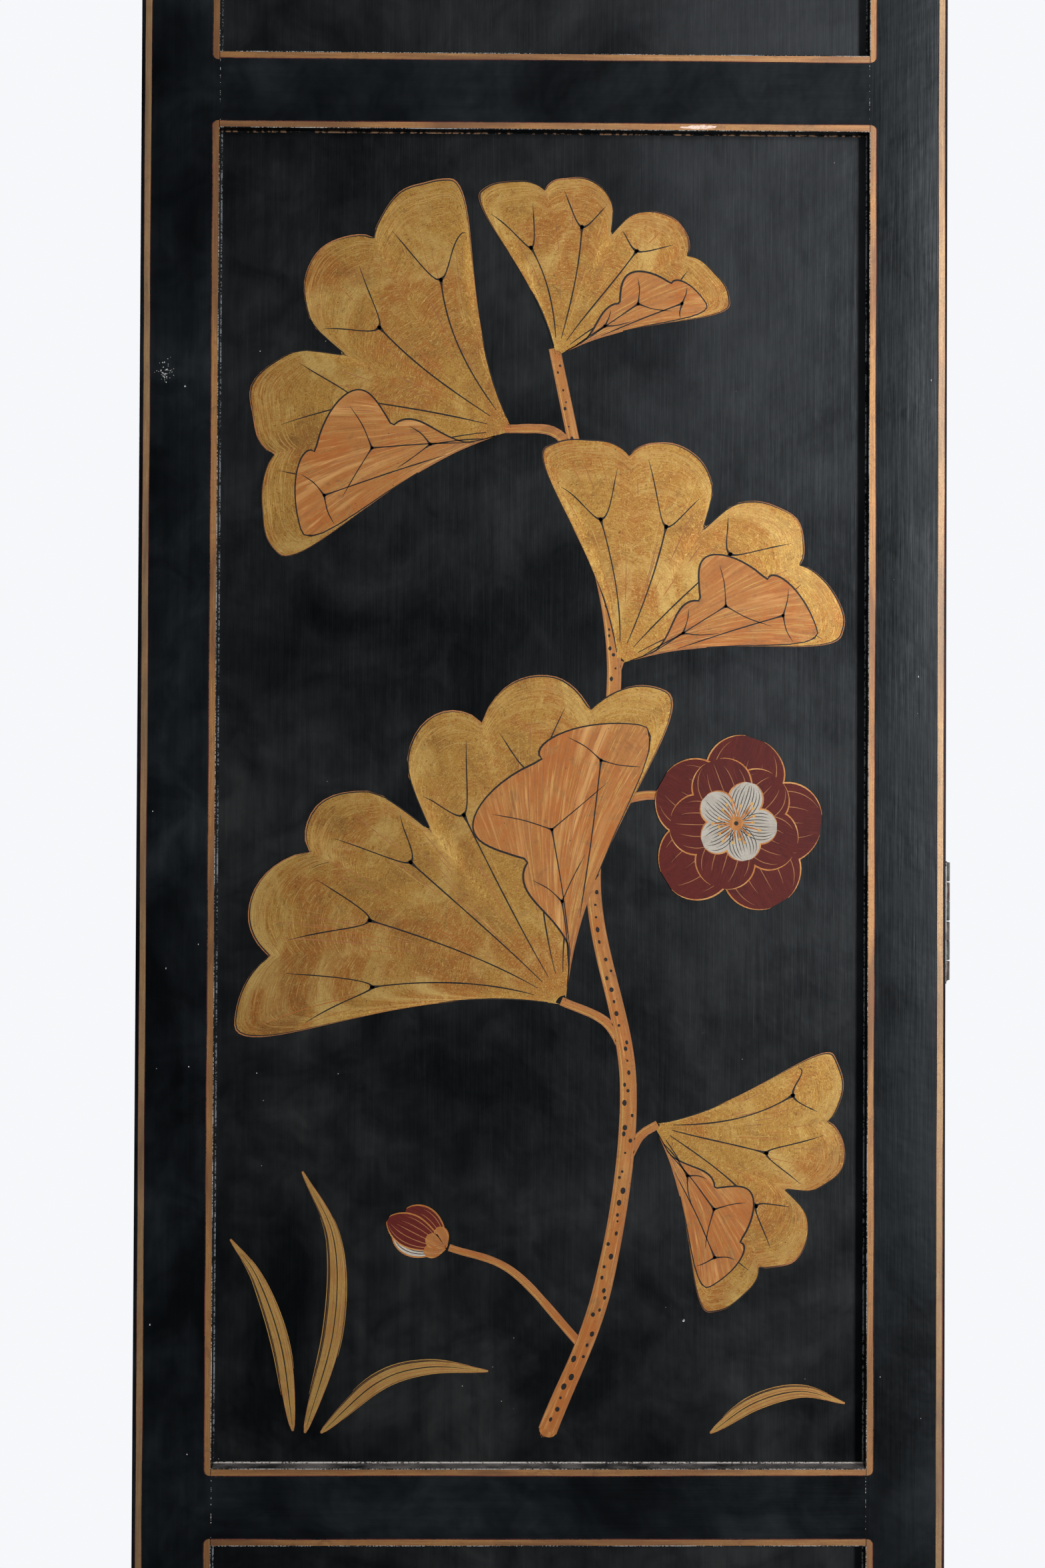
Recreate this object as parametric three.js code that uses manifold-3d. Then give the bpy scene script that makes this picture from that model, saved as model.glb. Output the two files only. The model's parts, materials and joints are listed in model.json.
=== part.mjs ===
// Folding room divider screen: four frame-and-board leaves joined edge to edge by butt hinges.
//
// Each leaf is joinery: two full-height stiles, four rails tenoned into them, and three thin boards
// that float in stopped grooves. Neighbouring leaves are joined by three butt hinges let into their
// edges. The barrels stand behind the screen at one joint and before it at the next, so that the
// screen folds like a concertina. Millimetres, +Z up, the first leaf's front faces -Y; the origin is
// on the floor, in the middle of the standing screen's footprint.
import * as THREE from 'three';
import { mergeVertices } from 'three/addons/utils/BufferGeometryUtils.js';
import Module from 'manifold-3d';

const wasm = await Module();
wasm.setup();

// ---------------------------------------------------------------- driving dimensions
// the leaves
const SCREEN_HEIGHT = 1830;
const LEAF_WIDTH = 406.4;
const FRAME_THICKNESS = 20;
const STILE_WIDTH = 39.5;
const TOP_RAIL_HEIGHT = 45;
const MIDDLE_RAIL_HEIGHT = 38.5;
const BOTTOM_RAIL_HEIGHT = 50;
const LEG_HEIGHT = 70; // floor to the bottom rail
const MAIN_FIELD_HEIGHT = 671; // the large recess
const MAIN_FIELD_RISE = 63.5; // its centre, above half the screen's height
const ARRIS_RADIUS = 1.2; // the stiles' outer long edges
const END_BEVEL = 0.8; // the stiles' tops and feet

// the boards and their grooves
const BOARD_THICKNESS = 5;
const RECESS_DEPTH = 9.5; // front of the frame to the face of the board
const GROOVE_DEPTH = 8;
const BOARD_PLAY = 1; // room left for the wood to swell, at each edge

// the tenons
const TENON_THICKNESS = 6.4;
const TENON_LENGTH = 26;
const OUTER_SHOULDER = 10; // tenon to the rail's edge, where that edge has no groove

// the hinges
const HINGE_LENGTH = 60;
const HINGE_END_DISTANCE = 230; // centre of an end hinge to the screen's top or to the floor
const KNUCKLE_COUNT = 6;
const BARREL_RADIUS = 3.2;
const PIN_RADIUS = 1.4;
const PLATE_THICKNESS = 1.5;
const PLATE_SINK = 0.7; // how far a plate lies below the stile's edge
const PLATE_MARGIN = 3; // plate to the far face of the frame
const PLATE_CORNER = 1.2;
const AXIS_SETBACK = 1.2; // pin axis beyond the face of the frame
const KNUCKLE_SHIFT = 0.25; // the free knuckles hang this much low between the pinned ones
const PIN_HEAD_RADIUS = 2.3;
const PIN_HEAD_HEIGHT = 0.9;
const SCREW_COUNT = 3;
const SCREW_SPACING = 20;
const SCREW_STAGGER = 2.5; // each screw is this far to one side of the plate's middle
const SCREW_HOLE_RADIUS = 1.7;
const COUNTERSINK_RADIUS = 3.1;
const COUNTERSINK_LAND = 0.2; // straight part left below the countersink

// clearances
const GAP = 0.3; // between pieces that seat on or in each other
const CUT = 1; // how far a cutting solid runs past the face that it opens
const LAP = 0.2; // how far two solids that are joined into one reach into each other

// how the screen stands: the angle between neighbouring leaves, 0 is folded shut and 180 is flat
const STANDING_ANGLES = [16, 52, 52];

// facets of the round forms
const ARRIS_FACETS = 4;
const BARREL_FACETS = 14;
const PIN_FACETS = 10;
const DOME_FACETS = 2;
const HOLE_FACETS = 8;

// ---------------------------------------------------------------- sizes that follow
const FIELD_WIDTH = LEAF_WIDTH - 2 * STILE_WIDTH;
const MAIN_FIELD_TOP = SCREEN_HEIGHT / 2 + MAIN_FIELD_RISE + MAIN_FIELD_HEIGHT / 2;
const MAIN_FIELD_FOOT = MAIN_FIELD_TOP - MAIN_FIELD_HEIGHT;
const BOARD_CENTRE = RECESS_DEPTH + BOARD_THICKNESS / 2;
const GROOVE_NEAR = RECESS_DEPTH - GAP;
const GROOVE_FAR = RECESS_DEPTH + BOARD_THICKNESS + GAP;

const AXIS_OUT = BARREL_RADIUS - PLATE_SINK; // pin axis beyond the leaf's edge
const PLATE_REACH = FRAME_THICKNESS + AXIS_SETBACK - PLATE_MARGIN; // pin axis to the far edge
const PLATE_INNER = BARREL_RADIUS - PLATE_THICKNESS; // pin axis to the plate's open face
const KNUCKLE_RELIEF = BARREL_RADIUS + GAP; // a plate is cut back this far from the pin axis
const KNUCKLE_PITCH = HINGE_LENGTH / KNUCKLE_COUNT;
const KNUCKLE_LENGTH = KNUCKLE_PITCH - GAP - KNUCKLE_SHIFT;

// every rail, from the top: its lower edge, its height, and which of its edges carry a board
const RAILS = [
  { name: 'top_rail', foot: SCREEN_HEIGHT - TOP_RAIL_HEIGHT, height: TOP_RAIL_HEIGHT },
  { name: 'upper_rail', foot: MAIN_FIELD_TOP, height: MIDDLE_RAIL_HEIGHT },
  { name: 'lower_rail', foot: MAIN_FIELD_FOOT - MIDDLE_RAIL_HEIGHT, height: MIDDLE_RAIL_HEIGHT },
  { name: 'bottom_rail', foot: LEG_HEIGHT, height: BOTTOM_RAIL_HEIGHT },
].map((rail, i, all) => ({ ...rail, boardAbove: i > 0, boardBelow: i < all.length - 1 }));

// every field lies between one rail and the next below it
const FIELDS = ['upper_board', 'main_board', 'lower_board'].map((name, i) => ({
  name,
  foot: RAILS[i + 1].foot + RAILS[i + 1].height,
  top: RAILS[i].foot,
}));

const HINGES = [
  { name: 'top', height: SCREEN_HEIGHT - HINGE_END_DISTANCE },
  { name: 'middle', height: SCREEN_HEIGHT / 2 },
  { name: 'bottom', height: HINGE_END_DISTANCE },
];

// ---------------------------------------------------------------- materials
const frameLacquer = new THREE.MeshStandardMaterial({ color: 0x191c1f, roughness: 0.42 });
const boardLacquer = new THREE.MeshStandardMaterial({ color: 0x131719, roughness: 0.38 });
const greySteel = new THREE.MeshStandardMaterial({
  color: 0x77736f,
  roughness: 0.45,
  metalness: 0.9,
});
const brownSteel = new THREE.MeshStandardMaterial({
  color: 0x86736c,
  roughness: 0.5,
  metalness: 0.85,
});

// ---------------------------------------------------------------- joining and cutting
function solid(geometry) {
  const bare = geometry.clone();
  bare.deleteAttribute('normal');
  bare.deleteAttribute('uv');
  const merged = mergeVertices(bare, 1e-4);
  const corners = [];
  for (let i = 0; i < merged.index.count; i += 3) {
    const [a, b, c] = merged.index.array.slice(i, i + 3);
    if (a !== b && b !== c && c !== a) {
      corners.push(a, b, c);
    }
  }
  return new wasm.Manifold(
    new wasm.Mesh({
      numProp: 3,
      vertProperties: new Float32Array(merged.attributes.position.array),
      triVerts: new Uint32Array(corners),
    }),
  );
}

function geometryOf(body) {
  const mesh = body.getMesh();
  const shared = new THREE.BufferGeometry();
  shared.setAttribute('position', new THREE.BufferAttribute(mesh.vertProperties, 3));
  shared.setIndex(new THREE.BufferAttribute(mesh.triVerts, 1));
  const flat = shared.toNonIndexed();
  flat.computeVertexNormals();
  return flat;
}

// a rectangular bar or cutter between any two opposite corners
function block(one, other) {
  const size = one.map((value, i) => Math.abs(value - other[i]));
  const centre = one.map((value, i) => (value + other[i]) / 2);
  return solid(new THREE.BoxGeometry(...size).translate(...centre));
}

// an outline drawn in Y and Z, extruded along X from a start
function alongX(outline, start, length, facets) {
  const settings = { depth: length, bevelEnabled: false, curveSegments: facets };
  const bar = new THREE.ExtrudeGeometry(outline, settings);
  return bar.rotateX(Math.PI / 2).rotateZ(Math.PI / 2).translate(start, 0, 0);
}

// a profile of [radius, height] points turned round Z
function turned(profile, facets) {
  const points = profile.map(([radius, height]) => new THREE.Vector2(radius, height));
  return new THREE.LatheGeometry(points, facets).rotateX(Math.PI / 2);
}

// ---------------------------------------------------------------- the frame and its boards
// Axes of a leaf: x from its left edge, y from its front face, z from the floor.
// A stile is drawn from its outer edge at x = 0; side is +1 for the left one and -1 for the right.

// plan of a stile: its outer corners are rounded, its inner ones square
function stilePlan(side) {
  const [r, w, t] = [ARRIS_RADIUS, STILE_WIDTH, FRAME_THICKNESS];
  const plan = new THREE.Shape();
  plan.moveTo(side * w, 0);
  plan.lineTo(side * w, t);
  plan.lineTo(side * r, t);
  plan.quadraticCurveTo(0, t, 0, t - r);
  plan.lineTo(0, r);
  plan.quadraticCurveTo(0, 0, side * r, 0);
  plan.closePath();
  return plan;
}

function stileBlank(side) {
  const blank = new THREE.ExtrudeGeometry(stilePlan(side), {
    depth: SCREEN_HEIGHT - 2 * END_BEVEL,
    curveSegments: ARRIS_FACETS,
    bevelThickness: END_BEVEL,
    bevelSize: END_BEVEL,
    bevelOffset: -END_BEVEL,
    bevelSegments: 1,
  });
  return solid(blank.translate(0, 0, END_BEVEL));
}

// a rail's tenon clears the grooves, or leaves a shoulder where the rail has none
function tenonSpan(rail) {
  return {
    foot: rail.foot + (rail.boardBelow ? GROOVE_DEPTH : OUTER_SHOULDER),
    top: rail.foot + rail.height - (rail.boardAbove ? GROOVE_DEPTH : OUTER_SHOULDER),
  };
}

function mortise(rail, side) {
  const { foot, top } = tenonSpan(rail);
  const half = TENON_THICKNESS / 2 + GAP;
  return block(
    [side * (STILE_WIDTH - TENON_LENGTH - GAP), BOARD_CENTRE - half, foot - GAP],
    [side * (STILE_WIDTH + CUT), BOARD_CENTRE + half, top + GAP],
  );
}

// a stile's groove stops behind the rails, where the board's corners end
function stoppedGroove(field, side) {
  return block(
    [side * (STILE_WIDTH - GROOVE_DEPTH), GROOVE_NEAR, field.foot - GROOVE_DEPTH],
    [side * (STILE_WIDTH + CUT), GROOVE_FAR, field.top + GROOVE_DEPTH],
  );
}

// the pocket in a stile's outer edge for a hinge plate, open towards the barrel
function hingePocket(hinge, side, behind) {
  const wall = PLATE_MARGIN - GAP;
  const near = behind ? wall : -CUT;
  const far = behind ? FRAME_THICKNESS + CUT : FRAME_THICKNESS - wall;
  const half = HINGE_LENGTH / 2 + GAP;
  return block(
    [side * -CUT, near, hinge.height - half],
    [side * (PLATE_SINK + GAP), far, hinge.height + half],
  );
}

// joint is what hinges this stile to a neighbour, or undefined at a free edge
function stileGeometry(side, joint) {
  const cutters = [
    ...RAILS.map((rail) => mortise(rail, side)),
    ...FIELDS.map((field) => stoppedGroove(field, side)),
    ...(joint ? HINGES.map((hinge) => hingePocket(hinge, side, joint.behind)) : []),
  ];
  return geometryOf(cutters.reduce((body, cutter) => body.subtract(cutter), stileBlank(side)));
}

// section of a rail in Y and Z, with a groove in each edge that carries a board
function railSection(rail) {
  const [foot, top] = [rail.foot, rail.foot + rail.height];
  const section = new THREE.Shape();
  section.moveTo(0, foot);
  if (rail.boardBelow) {
    section.lineTo(GROOVE_NEAR, foot);
    section.lineTo(GROOVE_NEAR, foot + GROOVE_DEPTH);
    section.lineTo(GROOVE_FAR, foot + GROOVE_DEPTH);
    section.lineTo(GROOVE_FAR, foot);
  }
  section.lineTo(FRAME_THICKNESS, foot);
  section.lineTo(FRAME_THICKNESS, top);
  if (rail.boardAbove) {
    section.lineTo(GROOVE_FAR, top);
    section.lineTo(GROOVE_FAR, top - GROOVE_DEPTH);
    section.lineTo(GROOVE_NEAR, top - GROOVE_DEPTH);
    section.lineTo(GROOVE_NEAR, top);
  }
  section.lineTo(0, top);
  section.closePath();
  return section;
}

function railGeometry(rail) {
  const bar = solid(alongX(railSection(rail), STILE_WIDTH + GAP, FIELD_WIDTH - 2 * GAP));
  const { foot, top } = tenonSpan(rail);
  const tenons = block(
    [STILE_WIDTH - TENON_LENGTH, BOARD_CENTRE - TENON_THICKNESS / 2, foot],
    [LEAF_WIDTH - STILE_WIDTH + TENON_LENGTH, BOARD_CENTRE + TENON_THICKNESS / 2, top],
  );
  return geometryOf(bar.add(tenons));
}

function boardGeometry(field) {
  const tongue = GROOVE_DEPTH - BOARD_PLAY;
  const width = FIELD_WIDTH + 2 * tongue;
  const height = field.top - field.foot + 2 * tongue;
  const board = new THREE.BoxGeometry(width, BOARD_THICKNESS, height);
  return board.translate(LEAF_WIDTH / 2, BOARD_CENTRE, (field.top + field.foot) / 2);
}

// ---------------------------------------------------------------- the hinges
// Axes of a hinge lying open flat: the pin stands on the origin, the barrel is on the +Y side of the
// plates, and the middle of the barrel is at z = 0. side is -1 for the pinned half, +1 for the free.

// plan of a knuckle and the root of its plate, rolled from one strip
function knucklePlan(side, boreRadius) {
  const root = KNUCKLE_RELIEF + PLATE_THICKNESS;
  const roll = 2 * Math.PI - Math.acos(PLATE_INNER / BARREL_RADIUS);
  const plan = new THREE.Shape();
  plan.moveTo(side * BARREL_RADIUS, -root);
  for (let i = 0; i <= BARREL_FACETS; i += 1) {
    const angle = (roll * i) / BARREL_FACETS;
    plan.lineTo(side * BARREL_RADIUS * Math.cos(angle), BARREL_RADIUS * Math.sin(angle));
  }
  plan.lineTo(side * PLATE_INNER, -root);
  plan.closePath();
  if (boreRadius) {
    plan.holes.push(new THREE.Path().absarc(0, 0, boreRadius, 0, 2 * Math.PI, true));
  }
  return plan;
}

// every second knuckle from the top is the pinned half's, and the others are the free half's
function knuckleFeet(side) {
  const feet = [];
  for (let i = side < 0 ? 0 : 1; i < KNUCKLE_COUNT; i += 2) {
    const middle = HINGE_LENGTH / 2 - (i + 0.5) * KNUCKLE_PITCH;
    feet.push(middle - KNUCKLE_LENGTH / 2 - (side < 0 ? 0 : KNUCKLE_SHIFT));
  }
  return feet;
}

function knuckles(side, boreRadius) {
  const settings = {
    depth: KNUCKLE_LENGTH,
    bevelEnabled: false,
    curveSegments: PIN_FACETS / 2,
  };
  return knuckleFeet(side).map((foot) => {
    const rolled = new THREE.ExtrudeGeometry(knucklePlan(side, boreRadius), settings);
    return solid(rolled.translate(0, 0, foot));
  });
}

// the plate's outline in Y and Z: the corners away from the barrel are rounded
function plateOutline() {
  const [near, far, half, r] = [-KNUCKLE_RELIEF, -PLATE_REACH, HINGE_LENGTH / 2, PLATE_CORNER];
  const outline = new THREE.Shape();
  outline.moveTo(near, -half);
  outline.lineTo(near, half);
  outline.lineTo(far + r, half);
  outline.quadraticCurveTo(far, half, far, half - r);
  outline.lineTo(far, -half + r);
  outline.quadraticCurveTo(far, -half, far + r, -half);
  outline.closePath();
  return outline;
}

// a countersunk hole through a plate, opening on the plate's inner face
function screwHole(side, index) {
  const cutter = turned(
    [
      [0, -CUT],
      [SCREW_HOLE_RADIUS, -CUT],
      [SCREW_HOLE_RADIUS, COUNTERSINK_LAND],
      [COUNTERSINK_RADIUS, PLATE_THICKNESS],
      [COUNTERSINK_RADIUS, PLATE_THICKNESS + CUT],
      [0, PLATE_THICKNESS + CUT],
    ],
    HOLE_FACETS,
  );
  const across = -(KNUCKLE_RELIEF + PLATE_REACH) / 2 + SCREW_STAGGER * (index % 2 ? 1 : -1);
  const height = (index - (SCREW_COUNT - 1) / 2) * SCREW_SPACING;
  cutter.rotateY((-side * Math.PI) / 2).translate(side * BARREL_RADIUS, across, height);
  return solid(cutter);
}

function plate(side) {
  const start = side < 0 ? -BARREL_RADIUS : PLATE_INNER;
  let body = solid(alongX(plateOutline(), start, PLATE_THICKNESS, ARRIS_FACETS));
  for (let i = 0; i < SCREW_COUNT; i += 1) {
    body = body.subtract(screwHole(side, i));
  }
  return body;
}

// the staked pin, with a domed head at each end; the lower head stays clear of the free knuckle
function pin() {
  const lower = -HINGE_LENGTH / 2 - GAP;
  const upper = knuckleFeet(-1)[0] + KNUCKLE_LENGTH - LAP;
  const profile = [];
  for (let i = 0; i <= DOME_FACETS; i += 1) {
    const angle = (Math.PI / 2) * (i / DOME_FACETS);
    const radius = i ? PIN_HEAD_RADIUS * Math.sin(angle) : 0;
    profile.push([radius, lower - PIN_HEAD_HEIGHT * Math.cos(angle)]);
  }
  profile.push([PIN_RADIUS, lower], [PIN_RADIUS, upper]);
  for (let i = 0; i <= DOME_FACETS; i += 1) {
    const angle = (Math.PI / 2) * (i / DOME_FACETS);
    const radius = i < DOME_FACETS ? PIN_HEAD_RADIUS * Math.cos(angle) : 0;
    profile.push([radius, upper + LAP + PIN_HEAD_HEIGHT * Math.sin(angle)]);
  }
  return solid(turned(profile, PIN_FACETS));
}

function joined(bodies) {
  return geometryOf(bodies.reduce((all, body) => all.add(body)));
}

// ---------------------------------------------------------------- the assembly
function piece(name, geometry, material) {
  const mesh = new THREE.Mesh(geometry, material.clone());
  mesh.name = name;
  return mesh;
}

// the screen's joints, each between one leaf and the next to its right
const JOINTS = STANDING_ANGLES.map((angle, i) => {
  const behind = i % 2 === 0;
  return {
    behind,
    axisY: behind ? FRAME_THICKNESS + AXIS_SETBACK : -AXIS_SETBACK,
    turn: THREE.MathUtils.degToRad(180 - angle) * (behind ? 1 : -1),
  };
});

const railGeometries = RAILS.map(railGeometry);
const boardGeometries = FIELDS.map(boardGeometry);
const pinnedGeometry = joined([plate(-1), ...knuckles(-1), pin()]);
const freeGeometry = joined([plate(1), ...knuckles(1, PIN_RADIUS + GAP)]);

function frameAndBoards(number) {
  const leaf = new THREE.Group();
  const add = (name, geometry, material) => {
    const mesh = piece(`panel_${number}_${name}`, geometry, material);
    leaf.add(mesh);
    return mesh;
  };
  add('stile_left', stileGeometry(1, JOINTS[number - 2]), frameLacquer);
  const right = add('stile_right', stileGeometry(-1, JOINTS[number - 1]), frameLacquer);
  right.position.x = LEAF_WIDTH;
  RAILS.forEach((rail, i) => add(rail.name, railGeometries[i], frameLacquer));
  FIELDS.forEach((field, i) => add(field.name, boardGeometries[i], boardLacquer));
  return leaf;
}

// one half of every hinge of a joint, on the holder whose origin is the foot of the pins' axis;
// where the barrels stand before the screen, the hinges are turned round
function hingeHalves(number, joint, pinned) {
  const halves = new THREE.Group();
  halves.rotation.z = joint.behind ? 0 : Math.PI;
  for (const hinge of HINGES) {
    const half = pinned
      ? piece(`hinge_${number}_${hinge.name}_pinned_leaf`, pinnedGeometry, greySteel)
      : piece(`hinge_${number}_${hinge.name}_free_leaf`, freeGeometry, brownSteel);
    half.position.z = hinge.height;
    halves.add(half);
  }
  return halves;
}

const screen = new THREE.Group();
let leaf = frameAndBoards(1);
screen.add(leaf);
JOINTS.forEach((joint, i) => {
  const number = i + 1;
  const fixedAxis = new THREE.Group();
  fixedAxis.position.set(LEAF_WIDTH + AXIS_OUT, joint.axisY, 0);
  fixedAxis.add(hingeHalves(number, joint, joint.behind));
  leaf.add(fixedAxis);

  const swing = new THREE.Group();
  swing.name = `joint_${number}`;
  swing.rotation.z = joint.turn;
  swing.add(hingeHalves(number, joint, !joint.behind));
  fixedAxis.add(swing);

  leaf = frameAndBoards(number + 1);
  leaf.position.set(AXIS_OUT, -joint.axisY, 0);
  swing.add(leaf);
});

const footprint = new THREE.Box3().setFromObject(screen, true);
const middle = footprint.getCenter(new THREE.Vector3());
screen.position.set(-middle.x, -middle.y, -footprint.min.z);

export default screen;
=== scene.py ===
"""Looks of a folding room divider screen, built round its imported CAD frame. Metres, +Z up.

Four black lacquered leaves carry gold border lines and a painted field in each recess. Whatever is
painted, worn or dusty is a thin closed relief that rides on its leaf.

Every leaf has axes of its own: x from its left edge, y from its front face to its back, z from the
floor. A painting is laid out in millimetres from the lower left corner of its field.
"""
import json
import math

import bmesh
import bpy
import numpy as np
from mathutils import Matrix, Vector

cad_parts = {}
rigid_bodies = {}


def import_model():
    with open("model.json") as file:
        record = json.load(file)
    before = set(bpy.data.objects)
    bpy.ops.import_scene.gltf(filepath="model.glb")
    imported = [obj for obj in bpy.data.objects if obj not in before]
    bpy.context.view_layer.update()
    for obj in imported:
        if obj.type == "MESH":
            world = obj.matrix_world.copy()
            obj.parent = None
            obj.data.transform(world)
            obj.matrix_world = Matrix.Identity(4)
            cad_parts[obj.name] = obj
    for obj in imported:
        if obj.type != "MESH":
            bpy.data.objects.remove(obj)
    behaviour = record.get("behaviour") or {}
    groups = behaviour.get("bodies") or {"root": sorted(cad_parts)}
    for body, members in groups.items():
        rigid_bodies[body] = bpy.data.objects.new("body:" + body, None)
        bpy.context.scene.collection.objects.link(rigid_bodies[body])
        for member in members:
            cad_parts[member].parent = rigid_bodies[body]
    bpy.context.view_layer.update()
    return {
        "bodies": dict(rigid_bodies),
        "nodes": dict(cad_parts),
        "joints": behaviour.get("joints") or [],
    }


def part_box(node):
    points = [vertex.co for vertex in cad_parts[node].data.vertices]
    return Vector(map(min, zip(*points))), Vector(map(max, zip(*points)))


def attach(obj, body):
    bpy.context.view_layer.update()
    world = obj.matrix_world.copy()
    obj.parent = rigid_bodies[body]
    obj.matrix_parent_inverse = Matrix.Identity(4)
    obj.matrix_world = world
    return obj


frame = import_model()

MM = 0.001

# ---------------- sizes read from the frame
LEAVES = range(len(frame["bodies"]))
LEFT_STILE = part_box("panel_1_stile_left")
RIGHT_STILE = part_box("panel_1_stile_right")
FRONT = LEFT_STILE[0].y
WIDTH = RIGHT_STILE[1].x - LEFT_STILE[0].x
STILE = LEFT_STILE[1].x - LEFT_STILE[0].x
THICKNESS = LEFT_STILE[1].y - FRONT
HEIGHT = LEFT_STILE[1].z
BOARD_FRONT, BOARD_BACK = (corner.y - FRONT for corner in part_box("panel_1_main_board"))
RAILS = [
    tuple(corner.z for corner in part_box(f"panel_1_{name}_rail"))
    for name in ("top", "upper", "lower", "bottom")
]
# (name, foot, top) of every recess: it lies between one rail and the next below
FIELDS = [
    (name, RAILS[i + 1][1], RAILS[i][0]) for i, name in enumerate(("upper", "main", "lower"))
]
FIELD_WIDTH = WIDTH - 2 * STILE
MAIN_FOOT, MAIN_TOP = FIELDS[1][1:]
MAIN_CENTRE = (MAIN_FOOT + MAIN_TOP) / 2
AXIS_OUT = frame["joints"][0]["pos_m"][0] - RIGHT_STILE[1].x

# ---------------- sizes of the finish
LINE_WIDTH = 2.95 * MM  # every gold line
LEFT_LINE_MARGIN = 2.1 * MM  # a leaf's left edge to its outer line
RIGHT_LINE_MARGIN = 1.5 * MM
BARE_ARRIS = 0.35 * MM  # rubbed edge of a recess, inside its gold border
CORNER_RADIUS = 2.7 * MM
LINE_STEP = 5 * MM
PAINT = 0.05 * MM  # one coat of paint
BOLE = 0.03 * MM  # the red ground that shows at the edges of the gold
BOLE_SPILL = 0.4 * MM  # how far it shows beyond a border's outer edge
SEAT = 0.01 * MM  # how far a relief is let into what carries it
SEAM = 0.6 * MM  # filled corner between frame and board
FILM_HALF = 0.2 * MM  # half the width, and the depth, of the lacquer that bridges a joint
FILM_OFFSET = 0.15 * MM  # from the joint to its middle
JOINT_MARKS = 20  # specks of wear along one joint

PLATE_TO_PIN = 1.7 * MM  # from a hinge plate's open face to the plane through the pin
SCREW_REACH = 10.85 * MM  # from the pin to the middle of a plate
SCREW_STAGGER = 2.5 * MM
SCREW_SPACING = 20 * MM
HEAD_RADIUS = 2.95 * MM
SHANK_RADIUS = 1.6 * MM
HEAD_SUNK = 0.1 * MM  # from the plate's face down to the head's
SLOT_DEPTH = 0.65 * MM
HEAD_DEPTH = 1.4 * MM
SLOT_WIDTH = 0.75 * MM
HEAD_SIDES = 28

WELD = 0.002 * MM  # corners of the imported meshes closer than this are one
HINGE_BEVEL = 0.12 * MM
BEVEL_ABOVE = math.radians(40)  # an edge as sharp as this is broken
SMOOTH_BELOW = math.radians(35)


def leaf_frames():
    """One matrix for every leaf, from the leaf's own axes to the row's."""
    frames = [Matrix.Translation((LEFT_STILE[0].x, FRONT, 0))]
    step = Matrix.Translation((WIDTH + 2 * AXIS_OUT, 0, 0))
    for joint in frame["joints"]:
        pin = Matrix.Translation(joint["pos_m"])
        from_flat = Matrix.Rotation(-math.radians(joint["range_deg"][1]), 4, joint["axis"])
        frames.append(pin @ from_flat @ pin.inverted() @ frames[-1] @ step)
    return frames


LEAF_FRAMES = leaf_frames()


# ---------------- materials
class Nodes:
    """A node tree, with a short call for each kind of node that it needs."""

    def __init__(self, tree):
        self.tree = tree

    def set(self, socket, value):
        if isinstance(value, bpy.types.NodeSocket):
            self.tree.links.new(value, socket)
        else:
            socket.default_value = value

    def node(self, kind, inputs=None, **settings):
        """Outputs of a new node, whose inputs are given by name or by number."""
        made = self.tree.nodes.new(kind)
        for name, value in settings.items():
            setattr(made, name, value)
        for key, value in (inputs or {}).items():
            self.set(made.inputs[key], value)
        return made.outputs

    def mapped(self, vector, scale, location=(0, 0, 0), turn=0.0):
        """Coordinates scaled, turned about Z and moved."""
        inputs = {"Vector": vector, "Scale": scale, "Location": location, "Rotation": (0, 0, turn)}
        return self.node("ShaderNodeMapping", inputs)["Vector"]

    def coordinates(self, source, *placing):
        """Coordinates from the mesh: "Object" or "UV"."""
        return self.mapped(self.node("ShaderNodeTexCoord")[source], *placing)

    def noise(self, vector, scale, detail, roughness=0.55, distortion=0.0):
        inputs = {"Vector": vector, "Scale": scale, "Detail": detail}
        inputs |= {"Roughness": roughness, "Distortion": distortion}
        return self.node("ShaderNodeTexNoise", inputs)["Fac"]

    def span(self, value, low, high, to_low=0.0, to_high=1.0):
        inputs = {"Value": value, "From Min": low, "From Max": high, "To Min": to_low, "To Max": to_high}
        return self.node("ShaderNodeMapRange", inputs)["Result"]

    def math(self, operation, one, other):
        return self.node("ShaderNodeMath", {0: one, 1: other}, operation=operation)[0]

    def times(self, one, other):
        return self.math("MULTIPLY", one, other)

    def plus(self, one, other):
        return self.math("ADD", one, other)

    def mix(self, factor, one, other):
        inputs = {0: factor, 6: rgba(one), 7: rgba(other)}
        return self.node("ShaderNodeMix", inputs, data_type="RGBA")[2]

    def tint(self, colour, other, value, low, high, most=1.0):
        """A colour that turns to the other, by as much as most, as a value goes from low to high."""
        return self.mix(self.span(value, low, high, 0.0, most), colour, other)

    def axes(self, vector):
        return self.node("ShaderNodeSeparateXYZ", {"Vector": vector})

    def flecks(self, vector, scale, radius, share):
        """Round spots, in about that share of the cells, each cell 1 / scale across."""
        cells = self.node("ShaderNodeTexVoronoi", {"Vector": vector, "Scale": scale})
        near = self.span(cells["Distance"], radius, radius * 0.6)
        draw = self.node("ShaderNodeSeparateColor", {"Color": cells["Color"]})[0]
        return self.times(near, self.span(draw, share, share * 0.8))


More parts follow.
